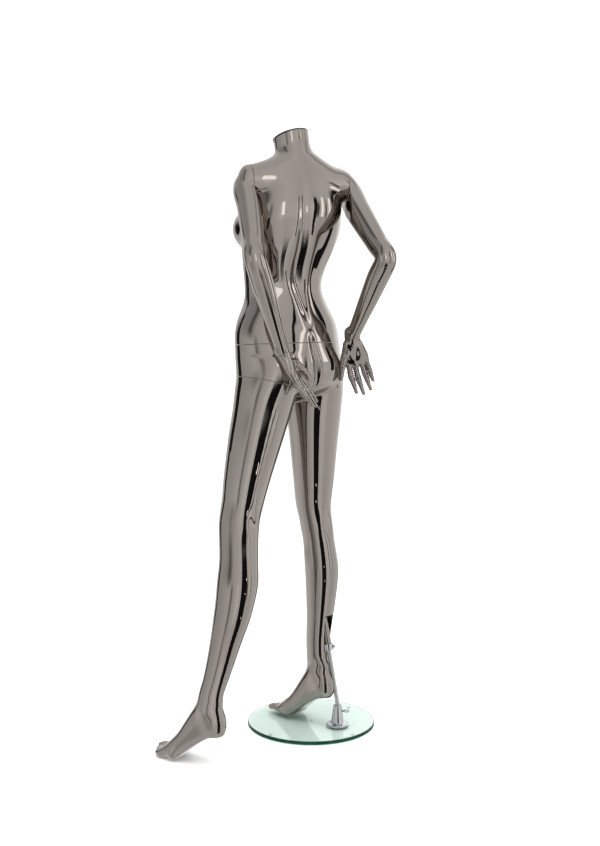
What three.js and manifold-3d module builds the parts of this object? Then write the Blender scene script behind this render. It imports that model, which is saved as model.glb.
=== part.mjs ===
// Headless display mannequin on a round glass base.
// Millimetres, +Z up. The figure faces -Y and its left side is +X.
// The origin is at floor level under the middle of the glass disc.
import * as THREE from 'three';
import { mergeVertices } from 'three/addons/utils/BufferGeometryUtils.js';
import Module from 'manifold-3d';

// ---- driving dimensions ----
const GAP = 0.3; // clearance between neighbouring pieces
const WALL = 7; // glass-fibre shell
const PLATE = 6; // thickness of a joint plate
const DISC_RADIUS = 175;
const DISC_THICKNESS = 10;
const BUMPER_HEIGHT = 3;
const BUMPER_RADIUS = 6;
const DISC_TOP = BUMPER_HEIGHT + DISC_THICKNESS;
const FLANGE_AT = [-18, 84]; // centre of the flange on the disc
const FLANGE_HEIGHT = 56;
const ROD_RADIUS = 6;
const SCREW_LIFT = 38; // thumb screw above the glass
const BORE = ROD_RADIUS + GAP; // of the flange and of the calf socket
const ROD_REST = 28; // height of the rod's lower end
const BOLT_RADIUS = 4.5; // flange bolt
const BOLT_HOLE = 4.8; // in the flange and the washer
const GLASS_HOLE = 5.5;
const GASKET = 0.8; // thickness
const BUMPER_RING = 155; // radius on which the outer bumpers sit
const PIN_RADIUS = 4; // hand pins and neck pin
const SOCKET_RADIUS = 9; // wrist sockets

// ---- seams and joint centres ----
const HIP_SEAM = { at: [78, -12, 1055], normal: [0.023, -0.023, 1] };
const THIGH_SEAM = { at: [163, -8, 946], normal: [-0.268, 0.043, 1] };
const CROTCH_X = 94; // the left leg's seam stops here
const TWIST_ROOM = 3; // the leg's inner edge is cut back so that it can turn
const CHEST_TURN = -27; // degrees the shoulders are turned to the figure's right
const SHOULDER_MID = [82, 30, 1484];
const ARM_SPACE = 132; // size of the block that separates an arm from the chest
const SHOULDER_SEAM = 134; // from the middle of the shoulders to each seam
const NECK_CUT = { at: [94, 15, 1614], normal: [0.1, -0.29, 0.95] };

const turn = THREE.MathUtils.degToRad(CHEST_TURN);
const LEFTWARD = new THREE.Vector3(Math.cos(turn), Math.sin(turn), 0);
const BACKWARD = new THREE.Vector3(-Math.sin(turn), Math.cos(turn), 0);
const UP = new THREE.Vector3(0, 0, 1);

// Rows: height, centre x, centre y, half width, depth to the front, depth to the back, turn in degrees
const TRUNK = [
  [897, 84, -4, 14, 22, 26, 0],
  [910, 83, -5, 60, 52, 62, -1],
  [930, 79, -7, 122, 82, 96, -2],
  [960, 77, -9, 152, 98, 110, -3],
  [1000, 76, -10, 163, 104, 112, -4],
  [1040, 77, -11, 162, 104, 108, -6],
  [1080, 78, -14, 159, 102, 104, -8],
  [1120, 79, -15, 146, 97, 99, -11],
  [1170, 81, -19, 119, 85, 87, -15],
  [1212, 88, -20, 110, 85, 77, -18],
  [1260, 90, -13, 116, 97, 80, -21],
  [1310, 88, -2, 128, 106, 90, -24],
  [1360, 85, 8, 136, 107, 98, -26],
  [1410, 84, 16, 134, 95, 98, -27],
  [1450, 83, 22, 126, 82, 88, -27],
  [1490, 82, 27, 110, 63, 72, -27],
  [1520, 83, 28, 80, 45, 55, -27],
  [1545, 84, 27, 50, 34, 40, -27],
];
const NECK = [
  [1480, 82, 32, 74, 58, 60, -27],
  [1520, 84, 29, 65, 51, 53, -27],
  [1550, 87, 25, 53, 49, 49, -24],
  [1580, 91, 20, 49, 49, 48, -20],
  [1620, 94, 15, 49, 51, 50, -15],
  [1670, 98, 10, 50, 53, 51, -15],
];
// Along the shoulder line, from the figure's right to its left:
// distance, backward offset, height offset, half height, depth to front and to back
const GIRDLE = [
  [-171, 4, -12, 6, 6, 6],
  [-166, 4, -11, 22, 21, 21],
  [-152, 3, -6, 37, 33, 33],
  [-130, 2, 4, 43, 40, 42],
  [-95, 2, 8, 49, 44, 50],
  [-50, 1, 24, 58, 50, 58],
  [0, 0, 40, 64, 52, 60],
  [50, 1, 27, 57, 50, 58],
  [95, 2, 12, 49, 44, 50],
  [130, 2, 5, 44, 40, 42],
  [152, 3, 2, 42, 34, 34],
  [166, 4, -2, 29, 24, 24],
  [172, 4, -3, 6, 6, 6],
];
const RIGHT_LEG = [
  [95, -2, 38, 20, 22, 30, 0],
  [120, -2, 36, 24, 30, 30, 0],
  [150, -2, 28, 25, 34, 31, 0],
  [190, -3, 22, 26, 33, 31, 0],
  [240, -5, 22, 31, 34, 33, 0],
  [290, -8, 25, 35, 36, 36, 0],
  [345, -9, 28, 40, 38, 42, 0],
  [400, -10, 30, 44, 42, 47, 0],
  [450, -11, 28, 46, 45, 49, 0],
  [510, -11, 19, 43, 43, 46, 0],
  [565, -11, 7, 45, 47, 46, 0],
  [610, -11, -1, 48, 51, 49, 0],
  [680, -12, -1, 56, 58, 56, 0],
  [790, -14, -2, 67, 70, 66, 0],
  [880, -15, -3, 77, 79, 77, 0],
  [950, -14, -5, 80, 84, 86, 0],
  [1010, -6, -9, 76, 80, 84, 0],
];
const LEFT_LEG = [
  [82, 388, 32, 20, 22, 28, 14],
  [105, 389, 30, 24, 30, 29, 14],
  [140, 391, 28, 26, 35, 31, 14],
  [180, 383, 28, 28, 34, 33, 14],
  [205, 373, 30, 30, 34, 33, 14],
  [252, 357, 32, 34, 37, 37, 12],
  [300, 343, 35, 39, 41, 42, 10],
  [348, 330, 38, 45, 45, 50, 8],
  [397, 317, 39, 49, 49, 54, 7],
  [446, 305, 36, 52, 52, 56, 6],
  [496, 292, 26, 49, 50, 52, 5],
  [550, 277, 10, 50, 53, 51, 4],
  [596, 264, -1, 53, 57, 53, 3],
  [646, 248, -3, 55, 60, 55, 2],
  [697, 234, -5, 61, 65, 61, 0],
  [800, 203, -6, 72, 75, 72, 0],
  [880, 178, -6, 79, 81, 79, 0],
  [950, 162, -6, 82, 85, 87, 0],
  [1010, 152, -9, 76, 80, 84, 0],
];

// ---- arms: shoulder, elbow, wrist, and the half width and depth at points on the way ----
const LEFT_ARM = {
  elbow: [297, 94, 1268],
  wrist: [205, 100, 1027],
  tip: [130, 136, 888],
  palm: [-0.5, 0.85, 0],
  side: 1,
};
const RIGHT_ARM = {
  elbow: [-8, 266, 1276],
  wrist: [-32, 125, 1073],
  tip: [-88, 117, 917],
  palm: [0.707, 0.707, 0],
  side: -1,
};

// ---- solid helpers ----
const wasm = await Module();
wasm.setup();

function solidOf(geometry) {
  const bare = geometry.clone();
  bare.deleteAttribute('normal');
  bare.deleteAttribute('uv');
  const merged = mergeVertices(bare, 1e-4);
  const mesh = new wasm.Mesh({
    numProp: 3,
    vertProperties: new Float32Array(merged.attributes.position.array),
    triVerts: new Uint32Array(merged.index.array),
  });
  return new wasm.Manifold(mesh);
}

function geometryOf(solid) {
  const mesh = solid.getMesh();
  const geometry = new THREE.BufferGeometry();
  geometry.setAttribute('position', new THREE.BufferAttribute(mesh.vertProperties, 3));
  geometry.setIndex(new THREE.BufferAttribute(mesh.triVerts, 1));
  geometry.computeVertexNormals();
  return geometry;
}

function vec(list) {
  return new THREE.Vector3(...list);
}

// Smooth curve through rows whose first number is the place along it
function sample(rows, place) {
  let k = 0;
  while (k < rows.length - 2 && place > rows[k + 1][0]) k += 1;
  const here = rows[k];
  const next = rows[k + 1];
  const before = rows[k - 1] ?? here;
  const after = rows[k + 2] ?? next;
  const span = next[0] - here[0];
  const t = (place - here[0]) / span;
  return here.slice(1).map((value, i) => {
    const column = i + 1;
    const slopeHere = ((next[column] - before[column]) / (next[0] - before[0])) * span;
    const slopeNext = ((after[column] - value) / (after[0] - here[0])) * span;
    const rise = next[column] - value;
    const square = 3 * rise - 2 * slopeHere - slopeNext;
    const cube = slopeHere + slopeNext - 2 * rise;
    return value + t * (slopeHere + t * (square + t * cube));
  });
}

// Closed skin over a list of rings with the same number of points
function skin(rings) {
  const sides = rings[0].length;
  const sumOf = (ring) => ring.reduce((sum, p) => sum.add(p), new THREE.Vector3());
  const middle = (ring) => sumOf(ring).divideScalar(sides);
  const points = [...rings.flat(), middle(rings[0]), middle(rings.at(-1))];
  const faces = [];
  for (let r = 0; r < rings.length - 1; r += 1) {
    for (let i = 0; i < sides; i += 1) {
      const a = r * sides + i;
      const b = r * sides + ((i + 1) % sides);
      faces.push(a, b, b + sides, a, b + sides, a + sides);
    }
  }
  const last = (rings.length - 1) * sides;
  for (let i = 0; i < sides; i += 1) {
    const j = (i + 1) % sides;
    faces.push(points.length - 2, j, i);
    faces.push(points.length - 1, last + i, last + j);
  }
  const geometry = new THREE.BufferGeometry().setFromPoints(points);
  geometry.setIndex(faces);
  return solidOf(geometry);
}

// Body section: an oval with its own depth to the front and to the back
function oval(frame, [x, y, a, front, back, degrees = 0], sides, inset) {
  const spin = THREE.MathUtils.degToRad(degrees);
  const ring = [];
  for (let i = 0; i < sides; i += 1) {
    const angle = (i / sides) * 2 * Math.PI;
    const across = Math.max(a - inset, 1) * Math.cos(angle);
    const depth = Math.max((Math.sin(angle) < 0 ? front : back) - inset, 1) * Math.sin(angle);
    const px = x + across * Math.cos(spin) - depth * Math.sin(spin);
    const py = y + across * Math.sin(spin) + depth * Math.cos(spin);
    ring.push(new THREE.Vector3(px, py, 0).applyMatrix4(frame));
  }
  return ring;
}

// Body part lofted over level sections
function loft(rows, { sides = 24, steps = 20, inset = 0, from = rows[0][0], to = rows.at(-1)[0] } = {}) {
  const rings = [];
  for (let k = 0; k <= steps; k += 1) {
    const height = from + ((to - from) * k) / steps;
    const frame = new THREE.Matrix4().makeTranslation(0, 0, height);
    rings.push(oval(frame, sample(rows, height), sides, inset));
  }
  return skin(rings);
}

// Body part lofted over sections square to the shoulder line
function girdle({ sides = 12, steps = 12, inset = 0, from = GIRDLE[0][0], to = GIRDLE.at(-1)[0] } = {}) {
  const rings = [];
  for (let k = 0; k <= steps; k += 1) {
    const along = from + ((to - from) * k) / steps;
    const [back, height, a, front, rear] = sample(GIRDLE, along);
    const frame = new THREE.Matrix4().makeBasis(UP, BACKWARD, LEFTWARD.clone().negate());
    frame.setPosition(vec(SHOULDER_MID).addScaledVector(LEFTWARD, along));
    rings.push(oval(frame, [height, back, a, front, rear], sides, inset).reverse());
  }
  return skin(rings);
}

// Limb swept along a smooth line through points; sizes are [half width, half depth] at each point
function sweep(points, sizes, widthWay, { sides = 14, steps = 16, inset = 0 } = {}) {
  const curve = new THREE.CatmullRomCurve3(points, false, 'centripetal');
  const rows = sizes.map(([a, b], i) => [i, a, b]);
  const rings = [];
  for (let k = 0; k <= steps; k += 1) {
    const t = k / steps;
    const along = curve.getTangent(t);
    const depthWay = new THREE.Vector3().crossVectors(along, widthWay).normalize();
    const across = new THREE.Vector3().crossVectors(depthWay, along).normalize();
    const [a, b] = sample(rows, t * (sizes.length - 1));
    const frame = new THREE.Matrix4().makeBasis(across, depthWay, along);
    frame.setPosition(curve.getPoint(t));
    rings.push(oval(frame, [0, 0, a, b, b], sides, inset));
  }
  return skin(rings);
}

function ellipsoid(centre, radii, detail = [12, 8]) {
  const ball = new THREE.SphereGeometry(1, ...detail);
  ball.rotateX(Math.PI / 2);
  ball.scale(...radii);
  ball.rotateZ(turn);
  ball.translate(...centre);
  return solidOf(ball);
}

// Matrix that stands +Z on a direction at a place
function aimed(at, direction) {
  const way = vec(direction).normalize();
  const matrix = new THREE.Matrix4();
  matrix.makeRotationFromQuaternion(new THREE.Quaternion().setFromUnitVectors(UP, way));
  return matrix.setPosition(...at);
}

function moved(geometry, matrix) {
  return geometry.applyMatrix4(matrix);
}

// Everything on the far side of a plane, as a big block
function beyond({ at, normal }, offset = 0, size = 900) {
  const block = new THREE.BoxGeometry(size, size, size);
  block.translate(0, 0, size / 2 + offset);
  return solidOf(moved(block, aimed(at, normal)));
}

function opposite({ at, normal }) {
  return { at, normal: normal.map((n) => -n) };
}

// Profile of [radius, height] turned about Z
function turned(profile, sides = 16) {
  const points = profile.map(([r, z]) => new THREE.Vector2(r, z));
  return new THREE.LatheGeometry(points, sides).rotateX(Math.PI / 2);
}

function tube(outer, inner, low, high, sides = 16) {
  return turned([[inner, low], [outer, low], [outer, high], [inner, high], [inner, low]], sides);
}

function rod(radius, low, high, sides = 16) {
  return turned([[0, low], [radius, low], [radius, high], [0, high]], sides);
}

// ---- hands, arms and feet ----
// Finger rows in the hand's own frame: base and tip as [toward the thumb, out of the palm, toward the tips]
const FINGERS = [
  { base: [25, 0, 58], knuckle: [25, 3, 108], tip: [19, 9, 156], radius: 7.2 },
  { base: [8, -1, 62], knuckle: [6, 3, 114], tip: [0, 9, 164], radius: 7.2 },
  { base: [-9, -1, 60], knuckle: [-14, 3, 108], tip: [-21, 9, 155], radius: 6.9 },
  { base: [-23, 0, 52], knuckle: [-29, 3, 96], tip: [-33, 8, 132], radius: 6.1 },
  { base: [18, 5, 14], knuckle: [41, 11, 67], tip: [53, 12, 108], radius: 8.4 },
];
// Palm rows: [toward the tips], [half width, half thickness]
const PALM_LENGTHS = [-3, 12, 32, 54, 70, 79];
const PALM_SIZES = [[19, 17.5], [21, 16.5], [28, 15], [34, 13], [34, 10], [29, 6.5]];
// Half width and half depth along an arm, from inside the shoulder to the wrist
const ARM_SIZES = [
  [38, 38],
  [38, 40],
  [34, 37],
  [31, 34],
  [28, 31],
  [28, 30],
  [29, 30],
  [25, 26],
  [20, 21],
  [17.5, 17.5],
];
// Toe rows: sideways place toward the little toe, reach of the tip, radius
const TOES = [[-20, 187, 10.5], [-4, 182, 8], [8, 175, 7.5], [19, 167, 7], [29, 158, 6.5]];
// Heel and the two pads under the ball: ahead, aside, height, radii
const PADS = [[-2, 0, 107, [26, 28, 34]], [118, -20, 17, [17, 20, 17]], [108, 20, 15, [17, 20, 15]]];
const INSTEP = [
  [-2, 160, 25, 34],
  [22, 120, 27, 42],
  [56, 80, 30, 36],
  [92, 46, 34, 26],
  [122, 25, 38, 20],
  [148, 14, 37, 12.5],
  [163, 11, 31, 9],
];

function handFrame({ wrist, tip, palm, side }) {
  const along = vec(tip).sub(vec(wrist)).normalize();
  const out = vec(palm);
  out.addScaledVector(along, -out.dot(along)).normalize();
  const across = new THREE.Vector3().crossVectors(out, along);
  const frame = new THREE.Matrix4().makeBasis(across, out, along).setPosition(...wrist);
  const place = ([x, y, z]) => new THREE.Vector3(side * x, y, z).applyMatrix4(frame);
  return { place, along, across };
}

function handForm(arm) {
  const { place, across } = handFrame(arm);
  const palmLine = PALM_LENGTHS.map((z) => place([1, 0, z]));
  let form = sweep(palmLine, PALM_SIZES, across, { sides: 10, steps: 6 });
  for (const { base, knuckle, tip, radius } of FINGERS) {
    const line = [base, knuckle, tip].map(place);
    const beyondTip = line[2].clone().lerp(line[1], -0.12);
    const sizes = [radius * 1.1, radius, radius * 0.82, radius * 0.3].map((r) => [r, r]);
    form = form.add(sweep([...line, beyondTip], sizes, across, { sides: 6, steps: 5 }));
  }
  return form;
}

function armLine({ elbow, wrist, side }) {
  const shoulder = vec(SHOULDER_MID);
  const inside = shoulder.clone().addScaledVector(LEFTWARD, side * 106);
  const cap = shoulder.clone().addScaledVector(LEFTWARD, side * 140).setZ(SHOULDER_MID[2] - 12);
  const bend = vec(elbow);
  const end = vec(wrist);
  const upper = [0.3, 0.55, 0.8].map((t) => cap.clone().lerp(bend, t));
  const lower = [0.22, 0.5, 0.78].map((t) => bend.clone().lerp(end, t));
  return [inside, cap, ...upper, bend, ...lower, end];
}

function elbowAxis({ elbow, wrist, side }) {
  const shoulder = vec(SHOULDER_MID).addScaledVector(LEFTWARD, side * 150);
  const upper = vec(elbow).sub(shoulder);
  const lower = vec(wrist).sub(vec(elbow));
  return upper.cross(lower).normalize();
}

function armForm(arm, options) {
  return sweep(armLine(arm), ARM_SIZES, elbowAxis(arm), options);
}

function footForm({ heel, toeOut, side }) {
  const angle = THREE.MathUtils.degToRad(toeOut);
  const forward = new THREE.Vector3(Math.sin(angle), -Math.cos(angle), 0);
  const outward = new THREE.Vector3(Math.cos(angle), Math.sin(angle), 0).multiplyScalar(side);
  const place = (ahead, aside, height) =>
    vec(heel).addScaledVector(forward, ahead).addScaledVector(outward, aside).addScaledVector(UP, height);
  const line = INSTEP.map(([ahead, height]) => place(ahead, 0, height));
  const sizes = INSTEP.map(([, , a, b]) => [a, b]);
  let form = sweep(line, sizes, outward, { sides: 10, steps: 8 });
  for (const [ahead, aside, height, radii] of PADS) {
    form = form.add(ellipsoid(place(ahead, aside, height).toArray(), radii, [10, 6]));
  }
  for (const [aside, reach, radius] of TOES) {
    const toe = [
      place(140, aside * 0.9, radius + 3),
      place(reach - 16, aside, radius + 3),
      place(reach, aside, radius),
    ];
    const toeSizes = [radius, radius, radius * 0.45].map((r) => [r, r * 0.9]);
    form = form.add(sweep(toe, toeSizes, outward, { sides: 6, steps: 3 }));
  }
  return form;
}

const RIGHT_FOOT = { heel: [2, 50, DISC_TOP + 0.6], toeOut: 1, side: -1 };
const LEFT_FOOT = { heel: [386, 42, 0.8], toeOut: 14, side: 1 };
const ROD_WAY = [0.041, -0.185, 0.982]; // slant of the rod's upper length
const ROD_BEND = [...FLANGE_AT, 70];

// ---- whole forms, before the seams are cut ----
const BUSTS = [[136, -87, 1370], [17, -24, 1370]];
const BUST_RADII = [57, 64, 60];
const trunkForm = loft(TRUNK, { sides: 18, steps: 20 });
const upperForm = trunkForm
  .add(loft(NECK, { sides: 14, steps: 4 }))
  .add(girdle())
  .add(ellipsoid(BUSTS[0], BUST_RADII))
  .add(ellipsoid(BUSTS[1], BUST_RADII));
const leftLegForm = loft(LEFT_LEG, { sides: 14, steps: 20 }).add(footForm(LEFT_FOOT));
const rightLegForm = loft(RIGHT_LEG, { sides: 14, steps: 20 }).add(footForm(RIGHT_FOOT));

// ---- hollows, a wall inside the forms; a plate is the same shape with clearance ----
const trunkHollow = (extra) =>
  loft(TRUNK, { sides: 12, steps: 12, inset: WALL + extra, from: 940, to: 1490 });
const girdleHollow = (extra) => girdle({ sides: 10, steps: 6, inset: WALL + extra, from: -150, to: 150 });
const rightLegHollow = loft(RIGHT_LEG, { sides: 10, steps: 8, inset: WALL, from: 345, to: 1000 });
const leftLegHollow = (extra) =>
  loft(LEFT_LEG, { sides: 10, steps: 8, inset: WALL + extra, from: 230, to: 1000 });
const armHollow = (arm, extra) => armForm(arm, { sides: 8, steps: 12, inset: WALL + extra });

const shoulderSeam = (side) => ({
  at: vec(SHOULDER_MID).addScaledVector(LEFTWARD, side * SHOULDER_SEAM).toArray(),
  normal: vec([0, 0, -0.06]).addScaledVector(LEFTWARD, side).toArray(),
});

// Slice of space along a seam, between two offsets from it
function slab({ at, normal }, low, high, size = 420) {
  const block = new THREE.BoxGeometry(size, size, high - low).translate(0, 0, (low + high) / 2);
  return solidOf(moved(block, aimed(at, normal)));
}

// Space taken by one arm: outside its shoulder seam and above the chest wall
function armSpace(side, clearance) {
  return beyond(shoulderSeam(side), clearance, ARM_SPACE);
}

// What the chest gives up to one arm: the space past the seam, and a close fit under the armpit
function armRoom(arm) {
  const fit = armForm(arm, { sides: 12, steps: 18, inset: -1 });
  const outside = beyond(shoulderSeam(arm.side), -GAP / 2, 400);
  return armSpace(arm.side, -GAP / 2).add(fit.intersect(outside));
}

// Space taken by the removable leg: under its slanted seam and left of the crotch
function legSpace(clearance, inner = CROTCH_X) {
  const leftward = new THREE.BoxGeometry(600, 600, 1100).translate(inner + 300 + clearance, 0, 500);
  return beyond(opposite(THIGH_SEAM), clearance, 1300).intersect(solidOf(leftward));
}

// ---- fittings ----
// Headed stud that hangs through a keyhole; local +Z points into the piece that carries the stud
const STUD_RADIUS = 5;
const HEAD_RADIUS = 9;
const HEAD_HEIGHT = 4;
const KEY_DROP = 18; // from the stud to the hole its head enters by
const KEY_PLAY = 0.6;
const NUT_HEIGHT = 6;
const FACE_GAP = 0.5; // from a seam to each plate
const PLATE_FAR = FACE_GAP + PLATE;

function studProfile() {
  const under = -PLATE_FAR - GAP;
  const top = PLATE_FAR + NUT_HEIGHT + 3;
  const head = under - HEAD_HEIGHT;
  const shank = [[HEAD_RADIUS, under], [STUD_RADIUS, under], [STUD_RADIUS, top], [0, top]];
  return [[0, head], [HEAD_RADIUS, head], ...shank];
}

function keyhole(frame) {
  const low = -PLATE_FAR - 1;
  const radius = STUD_RADIUS + KEY_PLAY;
  const slot = new THREE.BoxGeometry(2 * radius, KEY_DROP, PLATE + 3);
  slot.translate(0, -KEY_DROP / 2, low / 2);
  const entry = rod(HEAD_RADIUS + KEY_PLAY, low, 1).translate(0, -KEY_DROP, 0);
  const cuts = [slot, entry, rod(radius, low, 1)].map((cut) => solidOf(moved(cut, frame)));
  return cuts.reduce((all, cut) => all.add(cut));
}

function fitting(prefix, seam, studdedShape, keyedShape) {
  const frame = aimed(seam.at, seam.normal);
  const shank = solidOf(moved(rod(STUD_RADIUS + GAP, -1, 40), frame));
  const nut = rod(HEAD_RADIUS, PLATE_FAR + GAP, PLATE_FAR + GAP + NUT_HEIGHT, 6);
  const studded = studdedShape.intersect(slab(seam, FACE_GAP, PLATE_FAR));
  const keyed = keyedShape.intersect(slab(seam, -PLATE_FAR, -FACE_GAP));
  add(`${prefix}_stud_plate`, studded.subtract(shank), STEEL);
  add(`${prefix}_key_plate`, keyed.subtract(keyhole(frame)), STEEL);
  add(`${prefix}_stud`, solidOf(moved(turned(studProfile()), frame)), STEEL);
  add(`${prefix}_nut`, solidOf(moved(nut, frame)).subtract(shank), STEEL);
}

// ---- assembly ----
const CHROME = { color: 0x8f8781, roughness: 0.05, metalness: 1 };
const BRIGHT = { color: 0xd8d8da, roughness: 0.08, metalness: 1 };
const STEEL = { color: 0xb9b9b6, roughness: 0.35, metalness: 1 };
const GLASS = { color: 0xdcebe4, roughness: 0.02, metalness: 0, transparent: true, opacity: 0.4 };
const CLEAR = { color: 0xe8ecea, roughness: 0.3, metalness: 0 };
const BLACK = { color: 0x1c1c1c, roughness: 0.7, metalness: 0 };
const group = new THREE.Group();

function add(name, solid, finish) {
  const mesh = new THREE.Mesh(geometryOf(solid), new THREE.MeshStandardMaterial(finish));
  mesh.name = name;
  group.add(mesh);
}

function makeTorso() {
  const shell = upperForm
    .subtract(beyond(opposite(HIP_SEAM), -GAP / 2))
    .subtract(beyond(NECK_CUT, -GAP / 2))
    .subtract(armRoom(LEFT_ARM))
    .subtract(armRoom(RIGHT_ARM))
    .subtract(trunkHollow(0).add(girdleHollow(0)));
  const capFrame = aimed(NECK_CUT.at, NECK_CUT.normal);
  const pinHole = solidOf(moved(rod(PIN_RADIUS + GAP, -25, 5), capFrame));
  add('torso_shell', shell.subtract(pinHole), CHROME);
  const cap = turned([[0, GAP], [47, GAP], [50.5, 1.6], [50.5, 3.2], [48.5, 4.6], [0, 4.6]], 40);
  add('neck_cap', solidOf(moved(cap, capFrame)), CHROME);
  add('neck_cap_pin', solidOf(moved(rod(PIN_RADIUS, -24, 0), capFrame)), STEEL);
}

function makeLowerBody() {
  const hollow = trunkHollow(0).add(rightLegHollow).add(leftLegHollow(0));
  const leftStump = loft(LEFT_LEG, { sides: 14, steps: 5, from: 870 });
  const shell = trunkForm
    .add(rightLegForm)
    .add(leftStump)
    .subtract(beyond(HIP_SEAM, -GAP / 2))
    .subtract(legSpace(-GAP / 2))
    .subtract(hollow)
    .subtract(calfRecess());
  add('lower_body_shell', shell, CHROME);
  fitting('waist', HIP_SEAM, trunkHollow(GAP), trunkHollow(GAP));
}

function makeLeftLeg() {
  const space = legSpace(GAP / 2, CROTCH_X + TWIST_ROOM);
  const shell = leftLegForm.intersect(space).subtract(leftLegHollow(0));
  add('left_leg_shell', shell, CHROME);
  fitting('thigh', opposite(THIGH_SEAM), leftLegHollow(GAP), leftLegHollow(GAP));
}

function makeArm(label, arm) {
  const { along } = handFrame(arm);
  const wristSeam = { at: arm.wrist, normal: along.toArray() };
  const wristFrame = aimed(wristSeam.at, wristSeam.normal);
  const seam = shoulderSeam(arm.side);
  const solidWrist = beyond(wristSeam, -34, 200);
  const form = armForm(arm, { steps: 18, sides: 12 })
    .add(girdle().intersect(armSpace(arm.side, GAP / 2)))
    .subtract(beyond(opposite(seam), -GAP / 2, 260))
    .subtract(beyond(wristSeam, -GAP / 2, 200));
  const socketBore = solidOf(moved(rod(SOCKET_RADIUS + GAP, -26 - GAP, 2), wristFrame));
  const hollow = armHollow(arm, 0).subtract(solidWrist);
  add(`${label}_arm_shell`, form.subtract(hollow).subtract(socketBore), CHROME);
  fitting(`${label}_shoulder`, seam, armHollow(arm, GAP), girdleHollow(GAP));
  const socket = tube(SOCKET_RADIUS, PIN_RADIUS + GAP, -26, -0.6);
  add(`${label}_wrist_socket`, solidOf(moved(socket, wristFrame)), STEEL);
  add(`${label}_hand_pin`, solidOf(moved(rod(PIN_RADIUS, -22, 16), wristFrame)), STEEL);
  const pinBore = solidOf(moved(rod(PIN_RADIUS + GAP, -5, 16 + GAP), wristFrame));
  const behind = beyond(opposite(wristSeam), -GAP / 2, 200);
  const hand = handForm(arm).subtract(behind).subtract(pinBore);
  add(`${label}_hand`, hand, CHROME);
}

// ---- calf fitting, in the frame of the slanted rod: distances run up the rod from its bend ----
const COLLAR = [146, 164];
const SOCKET_TOP = 236;
const ROD_TOP = 231.4;
const SET_SCREW_AT = 155;
const SOCKET_OUTER = 10;
const COLLAR_OUTER = 14;
const RECESS_WIDTH = 30;
const RECESS_REACH = 60; // out past the back of the calf
const rodFrame = aimed(ROD_BEND, ROD_WAY);

function recessBlock(radius, low, high) {
  const block = new THREE.BoxGeometry(RECESS_WIDTH, RECESS_REACH, high - low);
  return block.translate(0, RECESS_REACH / 2 - radius, (high + low) / 2);
}

function calfRecess() {
  const [low, high] = COLLAR;
  const upper = recessBlock(SOCKET_OUTER + GAP, high, SOCKET_TOP + 4);
  const lower = recessBlock(COLLAR_OUTER + GAP, low - 2, high);
  const groove = rod(ROD_RADIUS + 1.5, 40, low);
  const cuts = [upper, lower, groove].map((cut) => solidOf(moved(cut, rodFrame)));
  return cuts.reduce((all, cut) => all.add(cut));
}

function makeCalfFitting() {
  const [low, high] = COLLAR;
  const foot = high + GAP;
  const roof = SOCKET_TOP - 4;
  const outside = [[BORE, foot], [SOCKET_OUTER, foot], [SOCKET_OUTER, SOCKET_TOP], [0, SOCKET_TOP]];
  const inside = [[0, roof], [BORE, roof], [BORE, foot]];
  add('calf_socket', solidOf(moved(turned([...outside, ...inside]), rodFrame)), CHROME);
  const screwWay = aimed([0, 0, SET_SCREW_AT], [-0.5, 0.866, 0]);
  const tapped = moved(moved(rod(2.5 + GAP, 0, 20, 12), screwWay), rodFrame);
  const collar = solidOf(moved(tube(COLLAR_OUTER, BORE, low, high), rodFrame));
  add('calf_collar', collar.subtract(solidOf(tapped)), BRIGHT);
  const screw = turned([[0, 6.8], [2.5, 6.8], [2.5, 14.4], [4.5, 14.4], [4.5, 18.5], [0, 18.5]], 14);
  add('calf_set_screw', solidOf(moved(moved(screw, screwWay), rodFrame)), BRIGHT);
}

// ---- base ----
function upright(geometry) {
  return geometry.translate(FLANGE_AT[0], FLANGE_AT[1], 0);
}

function makeDisc() {
  const edge = 1;
  const disc = turned([
    [0, BUMPER_HEIGHT],
    [DISC_RADIUS - edge, BUMPER_HEIGHT],
    [DISC_RADIUS, BUMPER_HEIGHT + edge],
    [DISC_RADIUS, DISC_TOP - edge],
    [DISC_RADIUS - edge, DISC_TOP],
    [0, DISC_TOP],
  ], 60);
  const hole = solidOf(upright(rod(GLASS_HOLE, 0, DISC_TOP + 1)));
  add('glass_disc', solidOf(disc).subtract(hole), GLASS);
}

// One bumper under the middle and four on a ring
function makeBumpers() {
  const places = [[0, 0], [BUMPER_RING, 0], [0, BUMPER_RING], [-BUMPER_RING, 0], [0, -BUMPER_RING]];
  places.forEach(([x, y], i) => {
    const bumper = rod(BUMPER_RADIUS, 0, BUMPER_HEIGHT - GAP).translate(x, y, 0);
    add(`clear_bumper_${i + 1}`, solidOf(bumper), CLEAR);
  });
}

function makeFlange() {
  const foot = DISC_TOP + GAP;
  add('flange_gasket', solidOf(upright(tube(29, GLASS_HOLE, foot, foot + GASKET))), BLACK);
  const low = foot + GASKET + GAP;
  const top = DISC_TOP + FLANGE_HEIGHT;
  const plinth = [[BOLT_HOLE, low], [31.5, low], [31.5, low + 3], [29.5, low + 5]];
  const cone = [[19, low + 6.5], [17.5, low + 9], [11, top - 1], [10, top]];
  const inside = [[BORE, top], [BORE, ROD_REST], [BOLT_HOLE, ROD_REST], [BOLT_HOLE, low]];
  const screwWay = aimed([...FLANGE_AT, DISC_TOP + SCREW_LIFT], [-0.7071, 0.7071, 0]);
  const tapped = solidOf(moved(rod(3 + GAP, 0, 30, 14), screwWay));
  const flange = solidOf(upright(turned([...plinth, ...cone, ...inside], 24)));
  add('base_flange', flange.subtract(tapped), BRIGHT);
  makeThumbScrew(screwWay);
}

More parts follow.
